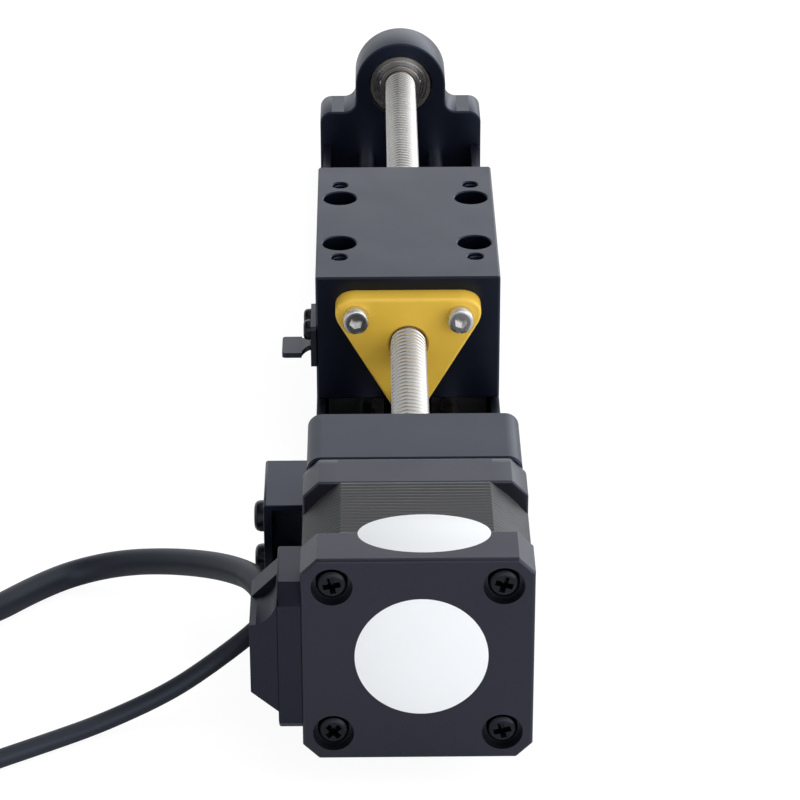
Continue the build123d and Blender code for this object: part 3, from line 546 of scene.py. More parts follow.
# %% The whole screw
thread_pitch = 1.6
thread_crest = 3.95
thread_root = 3.15
thread_start = -111.0
thread_end = 126.6
thread_outline = [
    (thread_root, 0.00),
    (thread_root, 0.20),
    (thread_root + 0.30, 0.42),
    (thread_crest - 0.10, 0.60),
    (thread_crest, 0.72),
    (thread_crest, 1.08),
    (thread_crest - 0.10, 1.20),
    (thread_root + 0.30, 1.38),
    (thread_root, thread_pitch),
]
thread_turns = int((thread_end - thread_start) / thread_pitch)
screw_bm = thread(thread_outline, thread_pitch, thread_turns, 28)
bmesh.ops.translate(screw_bm, vec=(0, thread_start, axis_height), verts=screw_bm.verts)
shank = [
    (0, -165.5),
    (2.7, -165.5),
    (3.0, -165.2),
    (3.0, -130.0),
    (3.95, -130.0),
    (3.95, -110.4),
    (3.2, -109.4),
    (0, -109.4),
]
tip = [(0, 124.0), (3.2, 124.0), (3.55, 126.3), (3.2, 127.0), (0, 127.0)]
for profile in (shank, tip):
    turned_bm = bmesh.new()
    turned(turned_bm, profile)
    along_y(turned_bm)
    join(screw_bm, turned_bm)
screw_piece = finish_piece(
    screw_bm, "threaded_screw", "screw", ground_steel, smooth_angle=180
)
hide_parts("lead_screw")

# %% [markdown]
# ## Finer edges on the CAD solids
# A sharp rim never catches light, but a real drilled hole has a small chamfer that does. Where the
# solid's shape is right, a merged copy of it gets finer edges with the bevel operator. Where the
# real shape differs from the solid, the piece is drawn as an outline, extruded and then cut.

# %% Helpers that copy and ease
def solid_copy(node):
    """A merged copy of a CAD solid in millimetres, with whole flat faces."""
    bm = bmesh.new()
    bm.from_mesh(nodes[node].data)
    bmesh.ops.scale(bm, vec=(1 / MM, 1 / MM, 1 / MM), verts=bm.verts)
    bmesh.ops.remove_doubles(bm, verts=bm.verts, dist=0.001)
    bmesh.ops.dissolve_limit(bm, angle_limit=math.radians(0.5), verts=bm.verts, edges=bm.edges)
    return bm


def ease(bm, near, width, steps=2, sharp=30):
    """Bevel the sharp edges whose middle passes a test."""
    chosen = []
    for edge in bm.edges:
        if len(edge.link_faces) == 2 and edge.calc_face_angle(0) > math.radians(sharp):
            if near((edge.verts[0].co + edge.verts[1].co) / 2):
                chosen.append(edge)
    bmesh.ops.bevel(
        bm,
        geom=chosen,
        offset=width,
        offset_type="OFFSET",
        segments=steps,
        profile=0.5,
        affect="EDGES",
        material=-1,
        clamp_overlap=True,
    )
    return len(chosen)


# %% Helpers that draw and cut
def prism(points, start, length):
    """A flat outline of (x, z) points, extruded along +Y."""
    bm = bmesh.new()
    face = bm.faces.new([bm.verts.new((x, start, z)) for x, z in points])
    extruded = bmesh.ops.extrude_face_region(bm, geom=[face])
    moved = [g for g in extruded["geom"] if isinstance(g, bmesh.types.BMVert)]
    bmesh.ops.translate(bm, vec=(0, length, 0), verts=moved)
    bmesh.ops.recalc_face_normals(bm, faces=bm.faces)
    return bm


def carve(bm, cutter):
    """Cut a closed shape out of a closed shape with a Boolean modifier, applied at once."""
    holders = []
    for name, shape in (("kept", bm), ("cutter", cutter)):
        bmesh.ops.recalc_face_normals(shape, faces=shape.faces)
        mesh = bpy.data.meshes.new(name)
        shape.to_mesh(mesh)
        shape.free()
        holder = bpy.data.objects.new(name, mesh)
        scene.collection.objects.link(holder)
        holders.append(holder)
    cut = holders[0].modifiers.new("cut", "BOOLEAN")
    cut.operation = "DIFFERENCE"
    cut.solver = "EXACT"
    cut.object = holders[1]
    view = bpy.context.evaluated_depsgraph_get()
    result = bpy.data.meshes.new_from_object(holders[0].evaluated_get(view))
    carved = bmesh.new()
    carved.from_mesh(result)
    bpy.data.meshes.remove(result)
    for holder in holders:
        bpy.data.objects.remove(holder)
    return carved


# %% The carriage, with chamfered holes
top_height = 40.8
carriage_bm = solid_copy("carriage")


def hole_rim(m):
    """On the top face, but not on its outer edges."""
    return abs(m.z - top_height) < 0.02 and abs(m.x) < 19.5 and abs(m.y + 0.7) < 30.0


rims = ease(carriage_bm, hole_rim, 0.35, steps=1)
carriage_piece = finish_piece(
    carriage_bm, "carriage_block", "carriage", black_anodised, smooth_angle=20
)
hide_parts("carriage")
print("hole rim edges", rims)

# %% [markdown]
# The four small holes in the carriage are tapped. Light catches their threads just below the
# rim, so each gets a few turns of a fine thread, made the same way as the screw's.

# %% Threads in the tapped holes
tapped_pitch = 0.70
thread_bottom, thread_tip = 1.78, 1.50
chamfer_depth = 0.45
tapped_outline = [
    (thread_bottom, 0.0),
    (thread_bottom, 0.06),
    (thread_tip, 0.30),
    (thread_tip, 0.40),
    (thread_bottom, 0.64),
    (thread_bottom, tapped_pitch),
]
tapped_bm = bmesh.new()
for x in (-15.0, 15.0):
    for y in (-20.65, 19.25):
        ridge = thread(tapped_outline, tapped_pitch, 12, 24)
        bmesh.ops.rotate(ridge, cent=(0, 0, 0), matrix=quarter_back, verts=ridge.verts)
        bmesh.ops.translate(ridge, vec=(x, y, top_height - chamfer_depth), verts=ridge.verts)
        join(tapped_bm, ridge)
finish_piece(
    tapped_bm, "tapped_threads", "carriage", black_anodised, smooth_angle=60
)

# %% [markdown]
# ## The end block
# The block that holds the far bearing has a round boss between two shoulders, and the shoulders
# are rounded by a cutter. One outline holds all of that: the arch is a spun point, the shoulders'
# corners are vertices that the bevel rounds, and the outline is then extruded and bored.

# %% Draw the end block's outline
block_front, block_back = 116.0, 128.0
shoulder_height, boss_radius = 19.8, 11.7
end_outline = bmesh.new()
right_points = [
    (-21.0, 3.5),
    (21.0, 3.5),
    (21.0, shoulder_height),
    (boss_radius, shoulder_height),
    (boss_radius, axis_height),
]
left_points = [(-boss_radius, shoulder_height), (-21.0, shoulder_height)]
right_side = [end_outline.verts.new((x, block_front, z)) for x, z in right_points]
bmesh.ops.spin(
    end_outline,
    geom=[right_side[-1]],
    cent=(0, block_front, axis_height),
    axis=(0, -1, 0),
    angle=math.pi,
    steps=36,
)
spun = [v for v in end_outline.verts if v not in right_side]
arch = sorted(spun, key=lambda v: math.atan2(v.co.z - axis_height, v.co.x))
left_side = [end_outline.verts.new((x, block_front, z)) for x, z in left_points]
for edge in list(end_outline.edges):
    end_outline.edges.remove(edge)
loop = right_side + arch + left_side
end_outline.faces.new(loop)
bmesh.ops.bevel(
    end_outline,
    geom=[v for v in loop if abs(v.co.z - shoulder_height) < 0.01],
    offset=3.0,
    segments=7,
    profile=0.5,
    affect="VERTICES",
    material=-1,
    clamp_overlap=True,
)
end_points = [(v.co.x, v.co.z) for v in end_outline.faces[:][0].verts]
end_outline.free()
print("end block outline", len(end_points), "points")

# %% Extrude the end block and bore it
end_bm = prism(end_points, block_front, block_back - block_front)
ease(
    end_bm,
    lambda m: abs(m.y - block_front) < 0.01 or abs(m.y - block_back) < 0.01,
    0.45,
    steps=3,
)
bore = bmesh.new()
bore_profile = [
    (0, 115.0),
    (8.35, 115.0),
    (8.35, block_front),
    (8.03, 116.3),
    (8.03, 121.5),
    (6.5, 121.5),
    (6.5, 129.0),
    (0, 129.0),
]
turned(bore, bore_profile, 64)
along_y(bore)
end_bm = carve(end_bm, bore)
end_piece = finish_piece(
    end_bm, "bearing_block", "base", black_anodised, smooth_angle=25
)
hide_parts("end_block")

# %% [markdown]
# ## The end bearing
# The shield is pressed from thin sheet: a flat ring, a small step up and a rim that is curled into
# the outer ring. A turned section gives all three.

# %% Pressed shields
shields_bm = bmesh.new()
shield_profile = [
    (5.35, 0.45),
    (5.35, 0.30),
    (5.85, 0.26),
    (6.05, 0.02),
    (6.60, 0.0),
    (6.78, 0.16),
    (6.78, 0.45),
    (5.35, 0.45),
]
for start, sense in ((116.62, 1), (121.38, -1)):
    shield = bmesh.new()
    turned(shield, [(r, start + sense * h) for r, h in shield_profile], 72)
    along_y(shield)
    join(shields_bm, shield)
shields_piece = finish_piece(
    shields_bm, "pressed_shields", "base", zinc_steel, smooth_angle=40
)
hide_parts("end_bearing_shields")

# %% [markdown]
# ## The nut
# The flange is a triangle with round corners: three circles' worth of material round three
# screws. Rounding a triangle's corners with the vertex bevel draws it directly. The barrel is a
# separate ring that is joined on after the flange is bored, because the Boolean cut wants one
# simple closed shape.

# %% The nut's flange
nut_front = -36.25
nut_bore_radius = 4.10
flange_bm = bmesh.new()
flange = bmesh.ops.create_circle(flange_bm, cap_ends=True, segments=3, radius=21.5)
first = flange["verts"][0].co
to_corner = Matrix.Rotation(math.radians(30) - math.atan2(first.y, first.x), 3, "Z")
bmesh.ops.rotate(flange_bm, cent=(0, 0, 0), matrix=to_corner, verts=flange_bm.verts)
bmesh.ops.bevel(
    flange_bm,
    geom=flange_bm.verts[:],
    offset=7.27,
    segments=12,
    profile=0.5,
    affect="VERTICES",
    material=-1,
    clamp_overlap=False,
)
flange_points = [(v.co.x, v.co.y + axis_height) for v in flange_bm.faces[:][0].verts]
flange_bm.free()
nut_bm = prism(flange_points, nut_front, 4.8)
ease(nut_bm, lambda m: abs(m.y - nut_front) < 0.01, 0.6, steps=4)
nut_bore = bmesh.new()
bore_wall = [(0, -1), (4.55, -1), (4.55, 0), (nut_bore_radius, 0.45), (nut_bore_radius, 6), (0, 6)]
turned(nut_bore, [(r, nut_front + y) for r, y in bore_wall])
along_y(nut_bore)
nut_bm = carve(nut_bm, nut_bore)
print("bored flange", len(nut_bm.faces), "faces")

# %% The nut's barrel
barrel = bmesh.new()
barrel_wall = [
    (nut_bore_radius, 4.0),
    (7.0, 4.0),
    (7.0, 26.4),
    (6.6, 26.8),
    (4.5, 26.8),
    (nut_bore_radius, 26.4),
    (nut_bore_radius, 4.0),
]
turned(barrel, [(r, nut_front + y) for r, y in barrel_wall])
along_y(barrel)
join(nut_bm, barrel)
nut_piece = finish_piece(nut_bm, "amber_nut", "carriage", nut_polymer)
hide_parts("flange_nut")

# %% [markdown]
# ## The motor's caps and laminations
# The caps are die castings, so every edge is slightly round. The stack between them is cut by
# three planes at each sheet's joint, and the middle one is drawn in a little to leave a groove.

# %% The rear cap with rounder rims
rear_face = -166.5
label_seat = 48.12  # the motor's top face, just low enough for a paper label above it


def from_axis(m):
    """How far a point is from the motor's axis, measured square to the motor's sides."""
    return max(abs(m.x), abs(m.z - axis_height))


def slice_at(bm, place, facing):
    """New edges all round a shape where a plane meets it."""
    everything = bm.verts[:] + bm.edges[:] + bm.faces[:]
    bmesh.ops.bisect_plane(bm, geom=everything, plane_co=place, plane_no=facing)


def lower_top(bm):
    """Bring the top face down to the label's seat."""
    for vertex in bm.verts:
        vertex.co.z = min(vertex.co.z, label_seat)


rear_bm = solid_copy("motor_rear_cap")
lower_top(rear_bm)
rear_rims = ease(
    rear_bm, lambda m: m.y < -166.0 and from_axis(m) > 19.5, 0.3, steps=2, sharp=20
)
mouths = ease(
    rear_bm, lambda m: abs(m.y - rear_face) < 0.01 and from_axis(m) < 19.6, 0.3, steps=2
)
rear_piece = finish_piece(
    rear_bm, "cast_rear_cap", "base", motor_paint, smooth_angle=15
)
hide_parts("motor_rear_cap")
print("rear cap edges", rear_rims, mouths)

# %% [markdown]
# The front cap meets the mount in a thin seam that is deep at the four corners. Planes cut new
# edges beside the seam and the corners, and the seam's points are then drawn in to the axis.

# %% The front cap and its seam
seam, corner = -128.0, 14.6
side_drawn_to, corner_drawn_to = 0.985, 0.90
front_bm = solid_copy("motor_front_cap")
front_rims = ease(
    front_bm, lambda m: m.y < -128.05 and from_axis(m) > 19.0, 0.35, steps=2, sharp=20
)
for step in (0.5, 2.2):
    slice_at(front_bm, (0, seam - step, 0), (0, 1, 0))
for side in (-corner, corner):
    slice_at(front_bm, (side, 0, axis_height), (1, 0, 0))
    slice_at(front_bm, (0, 0, axis_height + side), (0, 0, 1))
for vertex in front_bm.verts:
    x, z = vertex.co.x, vertex.co.z - axis_height
    if abs(vertex.co.y - seam) < 0.02 and from_axis(vertex.co) > 18:
        at_corner = min(abs(x), abs(z)) > corner + 0.1
        drawn = corner_drawn_to if at_corner else side_drawn_to
        vertex.co.x, vertex.co.z = x * drawn, axis_height + z * drawn
front_piece = finish_piece(
    front_bm, "cast_front_cap", "base", motor_paint, smooth_angle=15
)
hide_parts("motor_front_cap")
print("front cap edges", front_rims)

# %% Grooves between the sheets
stack_bm = solid_copy("stator_stack")
lower_top(stack_bm)
stack_front, stack_rear = -137.6, -156.6
groove_half_width = 0.16
drawn_to = 0.995
corner_set_out = 4.2  # how much further out the bevelled corners stand than the sides
groove_count = int((stack_front - stack_rear) / sheet_pitch)
for i in range(1, groove_count):
    joint = stack_rear + i * (stack_front - stack_rear) / groove_count
    for step in (-groove_half_width, 0.0, groove_half_width):
        slice_at(stack_bm, (0, joint + step, 0), (0, 1, 0))
    drawn_in = []
    for vertex in stack_bm.verts:
        reach_out = math.hypot(vertex.co.x, vertex.co.z - axis_height) - corner_set_out
        if abs(vertex.co.y - joint) < 0.02 and max(from_axis(vertex.co), reach_out) > 21.0:
            drawn_in.append(vertex)
    on_axis = Matrix.Translation((0, 0, -axis_height))
    bmesh.ops.scale(stack_bm, vec=(drawn_to, 1, drawn_to), space=on_axis, verts=drawn_in)
stack_piece = finish_piece(
    stack_bm, "laminated_stack", "base", lamination_black, smooth_angle=20
)
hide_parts("stator_stack")

# %% [markdown]
# ## The lead cover
# The cover is moulded: a tall inner part against the motor, and a lower outer part whose top
# slopes down to the side. Near the front the slope is scooped out, as if by a round cutter.
# Each part is an extruded outline. They overlap a little inside, where nothing shows.

# %% The cover's inner part
cover_front, cover_back = -166.0, -149.9
cover_bottom, cover_top = 11.6, 41.6
inner_outline = [
    (-21.17, cover_bottom),
    (-25.5, cover_bottom),
    (-25.5, cover_top),
    (-21.17, cover_top),
]
cover_bm = prism(inner_outline, cover_front, cover_back - cover_front)
for level, width in ((cover_top, 3.3), (cover_bottom, 1.8)):
    ease(
        cover_bm,
        lambda m: abs(m.y - cover_front) < 0.01 and abs(m.z - level) < 0.01,
        width,
        steps=1,
    )
ease(cover_bm, lambda m: m.x < -25.4 and (m.z > 38.5 or m.z < 16.0), 0.4, steps=3, sharp=20)
print("inner part", len(cover_bm.faces), "faces")

# %% The cover's sloping part and its scoop
outer_side, side_top = -30.5, 34.4
lower_edge = [(-25.4, 15.9), (outer_side, 20.3), (outer_side, side_top)]
slope = lower_edge + [(-25.4, 39.4)]
scoop = lower_edge + [
    (-29.3, 34.5),
    (-28.2, 34.95),
    (-27.3, 35.6),
    (-26.5, 36.5),
    (-25.9, 37.6),
    (-25.5, 38.6),
    (-25.4, 39.3),
]
scoop_depth = 10.2
rear_part = prism(slope, cover_front + scoop_depth, cover_back - cover_front - scoop_depth)
ease(rear_part, lambda m: m.x < -30.4, 0.5, steps=3, sharp=20)
front_part = prism(scoop, cover_front, scoop_depth)


def scoop_rim(m):
    """The scoop's front rim and the outer side's edges, but not the scoop's start."""
    front_rim = abs(m.y - cover_front) < 0.01 and m.z > 34.3
    return front_rim or m.x < -30.4 and abs(m.z - side_top) > 0.3


ease(front_part, scoop_rim, 0.3, steps=2)
join(cover_bm, rear_part)
join(cover_bm, front_part)
print("whole cover", len(cover_bm.faces), "faces")

# %% [markdown]
# The motor cable leaves the cover through a strain relief, a tapered sleeve with grooves that let
# it bend. Its profile is turned, and it is then laid along the cable's first run.

# %% The strain relief
def ribbed_relief(tip, second, base_radius, tip_radius, length, ribs):
    """A tapered sleeve along a cord's first run, with a groove before each rib."""
    bm = bmesh.new()
    profile = [(0, 0), (base_radius + 0.5, 0), (base_radius + 0.5, 0.9)]
    gap = (length - 1.6) / ribs
    for i in range(ribs):
        at = 1.2 + (length - 1.6) * i / ribs
        radius = base_radius + (tip_radius - base_radius) * at / length
        groove = radius - 0.45
        profile += [(groove, at), (groove, at + gap * 0.35)]
        profile += [(radius, at + gap * 0.5), (radius, at + gap * 0.9)]
    profile += [(tip_radius, length - 0.2), (tip_radius - 0.2, length), (0, length)]
    turned(bm, profile, 32)
    run = (Vector(second) - Vector(tip)).normalized()
    lay(bm, bm.verts[:], Vector(tip) - run * length, run)
    return bm


join(cover_bm, ribbed_relief(motor_cable_route[0], motor_cable_route[1], 3.9, 3.3, 7.2, 4))
cover_piece = finish_piece(cover_bm, "moulded_lead_cover", "base", black_plastic)
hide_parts("lead_cover")

# %% [markdown]
# ## The sensor's bracket
# A strip of sheet is bent over the sensor: a wide top, an outer wall that holds the sensor and a
# leg against the mount. Its outline is extruded, and the bends are rounded with the bevel.

# %% Bend the bracket
wall_face, wall_thickness = -29.2, 1.7
bracket_front, bracket_back = -119.9, -101.4
bracket_top, bracket_bottom, inner_edge = 33.5, 13.0, -20.55


def anywhere(m):
    """Every edge."""
    return True


bent = [
    (inner_edge, bracket_top),
    (wall_face, bracket_top),
    (wall_face, bracket_bottom),
    (wall_face + wall_thickness, bracket_bottom),
    (wall_face + wall_thickness, 32.2),
    (inner_edge, 32.2),
]
bracket_bm = prism(bent, bracket_front, bracket_back - bracket_front)
ease(
    bracket_bm,
    lambda m: abs(m.x - wall_face) < 0.01 and abs(m.z - bracket_top) < 0.01,
    0.5,
    steps=3,
)
ease(bracket_bm, anywhere, 0.15, steps=2, sharp=40)
leg_outline = [
    (-21.85, bracket_bottom),
    (-21.85, 32.3),
    (inner_edge, 32.3),
    (inner_edge, bracket_bottom),
]
leg = prism(leg_outline, bracket_front, 10.3)
ease(leg, anywhere, 0.15, steps=2, sharp=40)
join(bracket_bm, leg)
bracket_piece = finish_piece(bracket_bm, "bent_bracket", "base", black_anodised)
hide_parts("sensor_bracket")

# %% [markdown]
# ## Screws
# A screw head is read by its drive. Each head is turned with an open top, a hexagon or a cross is
# pushed down into it, and the flat ring between the two is filled. One screw of each kind is
# made and then set in each of its places, turned as chance left it.

# %% Make one screw
def screw_shape(head, head_height, shank, length, drive, drive_size, drive_depth):
    """A screw with its head's seat at the origin and its head upwards, as a mesh."""
    bm = bmesh.new()
    rim = drive_size * (0.80 if drive == "hex" else 1.12)
    lower = [(0, -length), (shank - 0.3, -length), (shank, -length + 0.3), (shank, 0)]
    lower += [(head - 0.1, 0), (head, 0.1)]
    if drive == "hex":
        upper = [(head, head_height - 0.28), (head - 0.1, head_height - 0.1)]
        upper += [(head - 0.3, head_height), (rim, head_height)]
    else:
        upper = [(head, head_height * 0.42), (head * 0.93, head_height * 0.74)]
        upper += [(head * 0.78, head_height * 0.93), (rim, head_height)]
    turned(bm, lower + upper, 40)
    turned_faces = set(bm.faces)
    at_top = Matrix.Translation((0, 0, head_height))
    if drive == "hex":
        across = drive_size / math.sqrt(3)
        bmesh.ops.create_circle(bm, cap_ends=True, segments=6, radius=across, matrix=at_top)
        taper = 0.97
    else:
        bmesh.ops.create_grid(bm, x_segments=3, y_segments=3, size=drive_size, matrix=at_top)
        taper = 0.42
    recess = [f for f in bm.faces if f not in turned_faces]
    if drive == "cross":
        # a grid of nine faces without its corners is a cross
        middles = {f: f.calc_center_median() for f in recess}
        corners = [f for f, m in middles.items() if min(abs(m.x), abs(m.y)) > drive_size / 3]
        recess = [f for f in recess if f not in corners]
        bmesh.ops.delete(bm, geom=corners, context="FACES")
    pushed = bmesh.ops.extrude_face_region(bm, geom=recess)
    floor_verts = [g for g in pushed["geom"] if isinstance(g, bmesh.types.BMVert)]
    bmesh.ops.delete(bm, geom=[f for f in recess if f.is_valid], context="FACES_ONLY")
    bmesh.ops.scale(bm, vec=(taper, taper, 1), verts=floor_verts)
    bmesh.ops.translate(bm, vec=(0, 0, -drive_depth), verts=floor_verts)
    open_edges = [e for e in bm.edges if e.is_boundary]
    bmesh.ops.triangle_fill(bm, use_beauty=True, edges=open_edges, normal=(0, 0, 1))
    bmesh.ops.recalc_face_normals(bm, faces=bm.faces)
    mesh = bpy.data.meshes.new("screw")
    bm.to_mesh(mesh)
    still_open = [e for e in bm.edges if e.is_boundary]
    print("one screw", len(bm.faces), "faces, open edges", len(still_open))
    bm.free()
    return mesh


# %% Helpers that set screws
def set_screws(name, one, places, facing, body, material, slot, first_turn=11):
    """Copies of one screw at their places, each turned a little further."""
    bm = bmesh.new()
    for i, place in enumerate(places):
        before = len(bm.verts)
        bm.from_mesh(one)
        bm.verts.ensure_lookup_table()
        fresh = bm.verts[before:]
        spin = Matrix.Rotation(math.radians(first_turn + 31 * i), 3, "Z")
        bmesh.ops.rotate(bm, cent=(0, 0, 0), matrix=spin, verts=fresh)
        lay(bm, fresh, place, facing)
    return finish_piece(bm, name, body, material, smooth_angle=30)


def reach(node, direction, seat):
    """How far a CAD screw goes past its seat, along an axis, in millimetres."""
    low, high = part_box(node)
    axis = [abs(d) for d in direction].index(1)
    tip = low[axis] if direction[axis] > 0 else high[axis]
    return abs(tip / MM - seat)


# %% The motor's long screws and the mount's screws
backward, forward_way, upward, leftward = (0, -1, 0), (0, 1, 0), (0, 0, 1), (-1, 0, 0)
oxide = (black_oxide_steel, "black_oxide_steel")
square = [(x, z) for x in (-15.5, 15.5) for z in (42.5, 11.5)]
motor_seat, mount_seat = -164.1, -114.0
motor_reach = reach("motor_screws", backward, motor_seat)
motor_one = screw_shape(2.9, 1.9, 1.5, motor_reach, "cross", 1.62, 1.75)
motor_places = [(x, motor_seat, z) for x, z in square]
motor_heads = set_screws("motor_cap_screws", motor_one, motor_places, backward, "base", *oxide)
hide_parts("motor_screws")
mount_reach = reach("mount_screws", forward_way, mount_seat)
mount_one = screw_shape(2.75, 3.0, 1.5, mount_reach, "hex", 2.5, 1.5)
mount_places = [(x, mount_seat, z) for x, z in square]
mount_heads = set_screws("mount_cap_screws", mount_one, mount_places, forward_way, "base", *oxide)
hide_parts("mount_screws")

# %% The nut's screws, on a circle
nut_one = screw_shape(2.75, 3.0, 1.5, reach("nut_screws", backward, nut_front), "hex", 2.5, 1.6)
nut_circle = 13.1
nut_places = []
for degrees in (30, 150, 270):
    x = nut_circle * math.cos(math.radians(degrees))
    z = axis_height + nut_circle * math.sin(math.radians(degrees))
    nut_places.append((x, nut_front, z))
nut_heads = set_screws(
    "nut_cap_screws", nut_one, nut_places, backward, "carriage", stainless_steel, "stainless_steel"
)
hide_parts("nut_screws")

# %% The screws deep in the carriage
shoe_seat = 16.8
shoe_one = screw_shape(3.5, 4.0, 2.0, reach("shoe_screws", upward, shoe_seat), "hex", 3.0, 2.0)
shoe_places = [(x, y, shoe_seat) for x in (-15.0, 15.0) for y in (-13.15, 11.75)]
shoe_heads = set_screws("shoe_cap_screws", shoe_one, shoe_places, upward, "carriage", *oxide)
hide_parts("shoe_screws")

# %% The pan head screws of the flag and the sensor
flag_seat = -21.35
flag_reach = reach("flag_screws", leftward, flag_seat)
flag_one = screw_shape(2.25, 1.6, 1.25, flag_reach, "cross", 1.2, 1.4)
flag_places = [(flag_seat, y, 26.5) for y in (-27.65, -22.15)]
flag_heads = set_screws("flag_pan_screws", flag_one, flag_places, leftward, "carriage", *oxide)
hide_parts("flag_screws")
sensor_one = screw_shape(3.1, 2.1, 1.5, 5.0, "cross", 1.6, 1.8)
sensor_places = [(wall_face, -111.2, z) for z in (26.4, 16.6)]
sensor_heads = set_screws("sensor_pan_screws", sensor_one, sensor_places, leftward, "base", *oxide)
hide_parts("sensor_screws")

# %% [markdown]
# ## Labels
# Two blank paper labels are stuck on the motor: a round one on the rear face and an oval one on
# top. Each is a thin disc whose edge is rounded, so that it catches a fine line of light.

# %% Two blank labels
paper = 0.03


def stick_label(name, radius, squash, place, facing):
    """A paper disc, squashed to an oval where that is asked for."""
    label = bmesh.new()
    edge = [(radius, 0), (radius, paper * 0.6), (radius - 0.03, paper)]
    turned(label, [(0, 0)] + edge + [(0, paper)], 96)
    bmesh.ops.scale(label, vec=(1, squash, 1), verts=label.verts)
    lay(label, label.verts[:], place, facing)
    return finish_piece(label, name, "base", label_white)


stick_label("round_label", 12.15, 1.0, (0.65, rear_face, 27.8), backward)
stick_label("oval_label", 12.1, 13.9 / 24.2, (1.3, -156.9, 48.15 - paper), upward)

# %% [markdown]
# ## Connectors
# Each cable ends in a small white crimp housing: a box with a row of narrow windows on top, a rib
# on each side and a latch. They are small, so a few insets and extrusions are enough.

# %% A helper for crimp housings
def block(size, middle=(0, 0, 0), rounding=0):
    """A box of a size about a point, with its edges rounded."""
    bm = bmesh.new()
    bmesh.ops.create_cube(bm, size=1)
    bmesh.ops.scale(bm, vec=size, verts=bm.verts)
    bmesh.ops.translate(bm, vec=middle, verts=bm.verts)
    if rounding:
        ease(bm, anywhere, rounding, steps=2)
    return bm


def middle_of(corners):
    """The middle of a box, in millimetres."""
    return [(a + b) / 2 / MM for a, b in zip(*corners)]


def housing(size, middle, ways):
    """A crimp housing about a point. The cord enters its +Y end."""
    width, length, height = size
    near_top = height / 2 - 0.3
    bm = block((width - 0.6, length, height - 0.6), rounding=0.35)
    step = (width - 2.0) / ways
    for i in range(ways):
        window_x = -width / 2 + 1.0 + step * (i + 0.5)
        window = block((step * 0.55, length * 0.22, 1.4), (window_x, -length * 0.12, near_top))
        bm = carve(bm, window)
    for side in (-1, 1):
        rib_place = (side * (width / 2 - 0.3), -length * 0.15, 0)
        join(bm, block((0.6, length * 0.6, 0.9), rib_place, 0.15))
    join(bm, block((width * 0.4, length * 0.3, 0.6), (0, length * 0.28, near_top), 0.2))
    bmesh.ops.translate(bm, vec=middle, verts=bm.verts)
    return bm


# %% Both crimp housings
motor_housing = finish_piece(
    housing((10.0, 16.0, 6.0), middle_of(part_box("motor_plug")), 4),
    "motor_connector",
    "base",
    connector_nylon,
)
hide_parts("motor_plug")
sensor_housing = finish_piece(
    housing((8.0, 13.0, 5.0), middle_of(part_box("sensor_plug")), 3),
    "sensor_connector",
    "base",
    connector_nylon,
)
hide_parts("sensor_plug")

# %% [markdown]
# ## The floor
# The object stands on a white sweep. It could be lit until it burns out, but then the object would
# be lit too strongly from below. Instead the camera sees a paint with some glow of its own, which
# is pure white where nothing shades it and still takes the soft shadow, and all other rays see a
# plain light grey.

# %% The floor
floor_bm = bmesh.new()
bmesh.ops.create_grid(floor_bm, x_segments=1, y_segments=1, size=6)
floor_mesh = bpy.data.meshes.new("floor")
floor_bm.to_mesh(floor_mesh)
floor_bm.free()
floor = bpy.data.objects.new("floor", floor_mesh)
scene.collection.objects.link(floor)
floor.location.z = -0.0002

floor_paint = bpy.data.materials.new("floor_paint")
floor_paint.use_nodes = True
tree = floor_paint.node_tree
tree.nodes.clear()
paint = tree.nodes.new("ShaderNodeBsdfDiffuse")
paint.inputs["Color"].default_value = (0.86, 0.86, 0.86, 1)
seen_paint = tree.nodes.new("ShaderNodeBsdfDiffuse")
seen_paint.inputs["Color"].default_value = (0.20, 0.20, 0.20, 1)
seen_glow = tree.nodes.new("ShaderNodeEmission")
seen_glow.inputs["Color"].default_value = (1, 1, 1, 1)
seen_glow.inputs["Strength"].default_value = 0.91
seen = tree.nodes.new("ShaderNodeAddShader")
tree.links.new(seen_paint.outputs[0], seen.inputs[0])
tree.links.new(seen_glow.outputs[0], seen.inputs[1])
rays = tree.nodes.new("ShaderNodeLightPath")
pick = tree.nodes.new("ShaderNodeMixShader")
tree.links.new(rays.outputs["Is Camera Ray"], pick.inputs["Fac"])
tree.links.new(paint.outputs[0], pick.inputs[1])
tree.links.new(seen.outputs[0], pick.inputs[2])
out = tree.nodes.new("ShaderNodeOutputMaterial")
tree.links.new(pick.outputs[0], out.inputs["Surface"])
floor_mesh.materials.append(floor_paint)
print("floor at", round(floor.location.z / MM, 2), "mm")

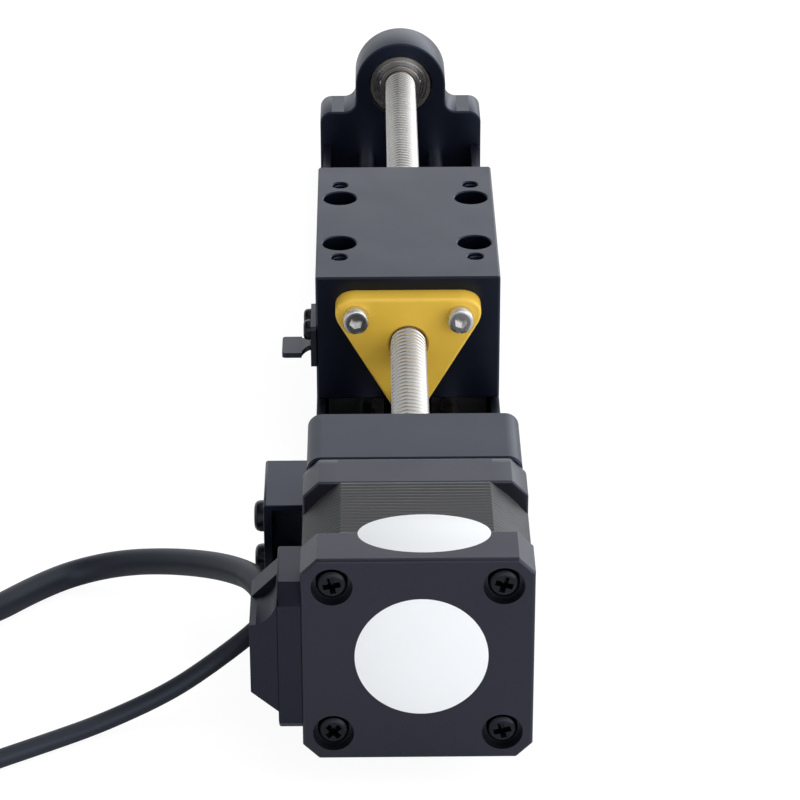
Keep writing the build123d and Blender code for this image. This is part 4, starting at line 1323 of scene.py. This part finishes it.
# %% [markdown]
# ## The light tent
# The tent is the world, and every black surface shows it. Low down and to the right it is bright,
# overhead and to the left it is dark. So the upright faces keep their soft sheen, the drilled top
# isn't washed out, and rounded edges on the right catch the light, as in the photograph.
# A wide, weak lamp overhead adds only the direction of the shadow.

# %% The tent
world = bpy.data.worlds.new("tent")
scene.world = world
world.use_nodes = True
tree = world.node_tree
tree.nodes.clear()
rays = tree.nodes.new("ShaderNodeLightPath")
tent = tree.nodes.new("ShaderNodeBackground")
way = tree.nodes.new("ShaderNodeTexCoord")
parts_of_way = tree.nodes.new("ShaderNodeSeparateXYZ")
tree.links.new(way.outputs["Generated"], parts_of_way.inputs["Vector"])
by_height = mapped(tree, parts_of_way.outputs["Z"], (0.35, 0.85), (1.55, 0.25), "SMOOTHSTEP")
by_side = mapped(tree, parts_of_way.outputs["X"], (-0.9, 0.9), (0.40, 1.60), "SMOOTHSTEP")
both_ways = tree.nodes.new("ShaderNodeMath")
both_ways.operation = "MULTIPLY"
tree.links.new(by_height, both_ways.inputs[0])
tree.links.new(by_side, both_ways.inputs[1])
tree.links.new(both_ways.outputs["Value"], tent.inputs["Strength"])
tent.inputs["Color"].default_value = (0.94, 0.965, 1.0, 1)
backdrop = tree.nodes.new("ShaderNodeBackground")
backdrop.inputs["Color"].default_value = (1, 1, 1, 1)
backdrop.inputs["Strength"].default_value = 1.0
pick = tree.nodes.new("ShaderNodeMixShader")
out = tree.nodes.new("ShaderNodeOutputWorld")
tree.links.new(rays.outputs["Is Camera Ray"], pick.inputs["Fac"])
tree.links.new(tent.outputs[0], pick.inputs[1])
tree.links.new(backdrop.outputs[0], pick.inputs[2])
tree.links.new(pick.outputs[0], out.inputs["Surface"])
print("tent", len(tree.nodes), "nodes")

# %% The lamp
key_data = bpy.data.lights.new("key", "AREA")
key_data.shape = "RECTANGLE"
key_data.size = 1.5
key_data.size_y = 1.5
key_data.energy = 5.0
key = bpy.data.objects.new("key", key_data)
key.location = (0.35, 0.0, 1.2)
key.rotation_euler = (Vector((0, 0, 0)) - key.location).to_track_quat("-Z", "Y").to_euler()
scene.collection.objects.link(key)
print("lamp", key_data.energy, "W")
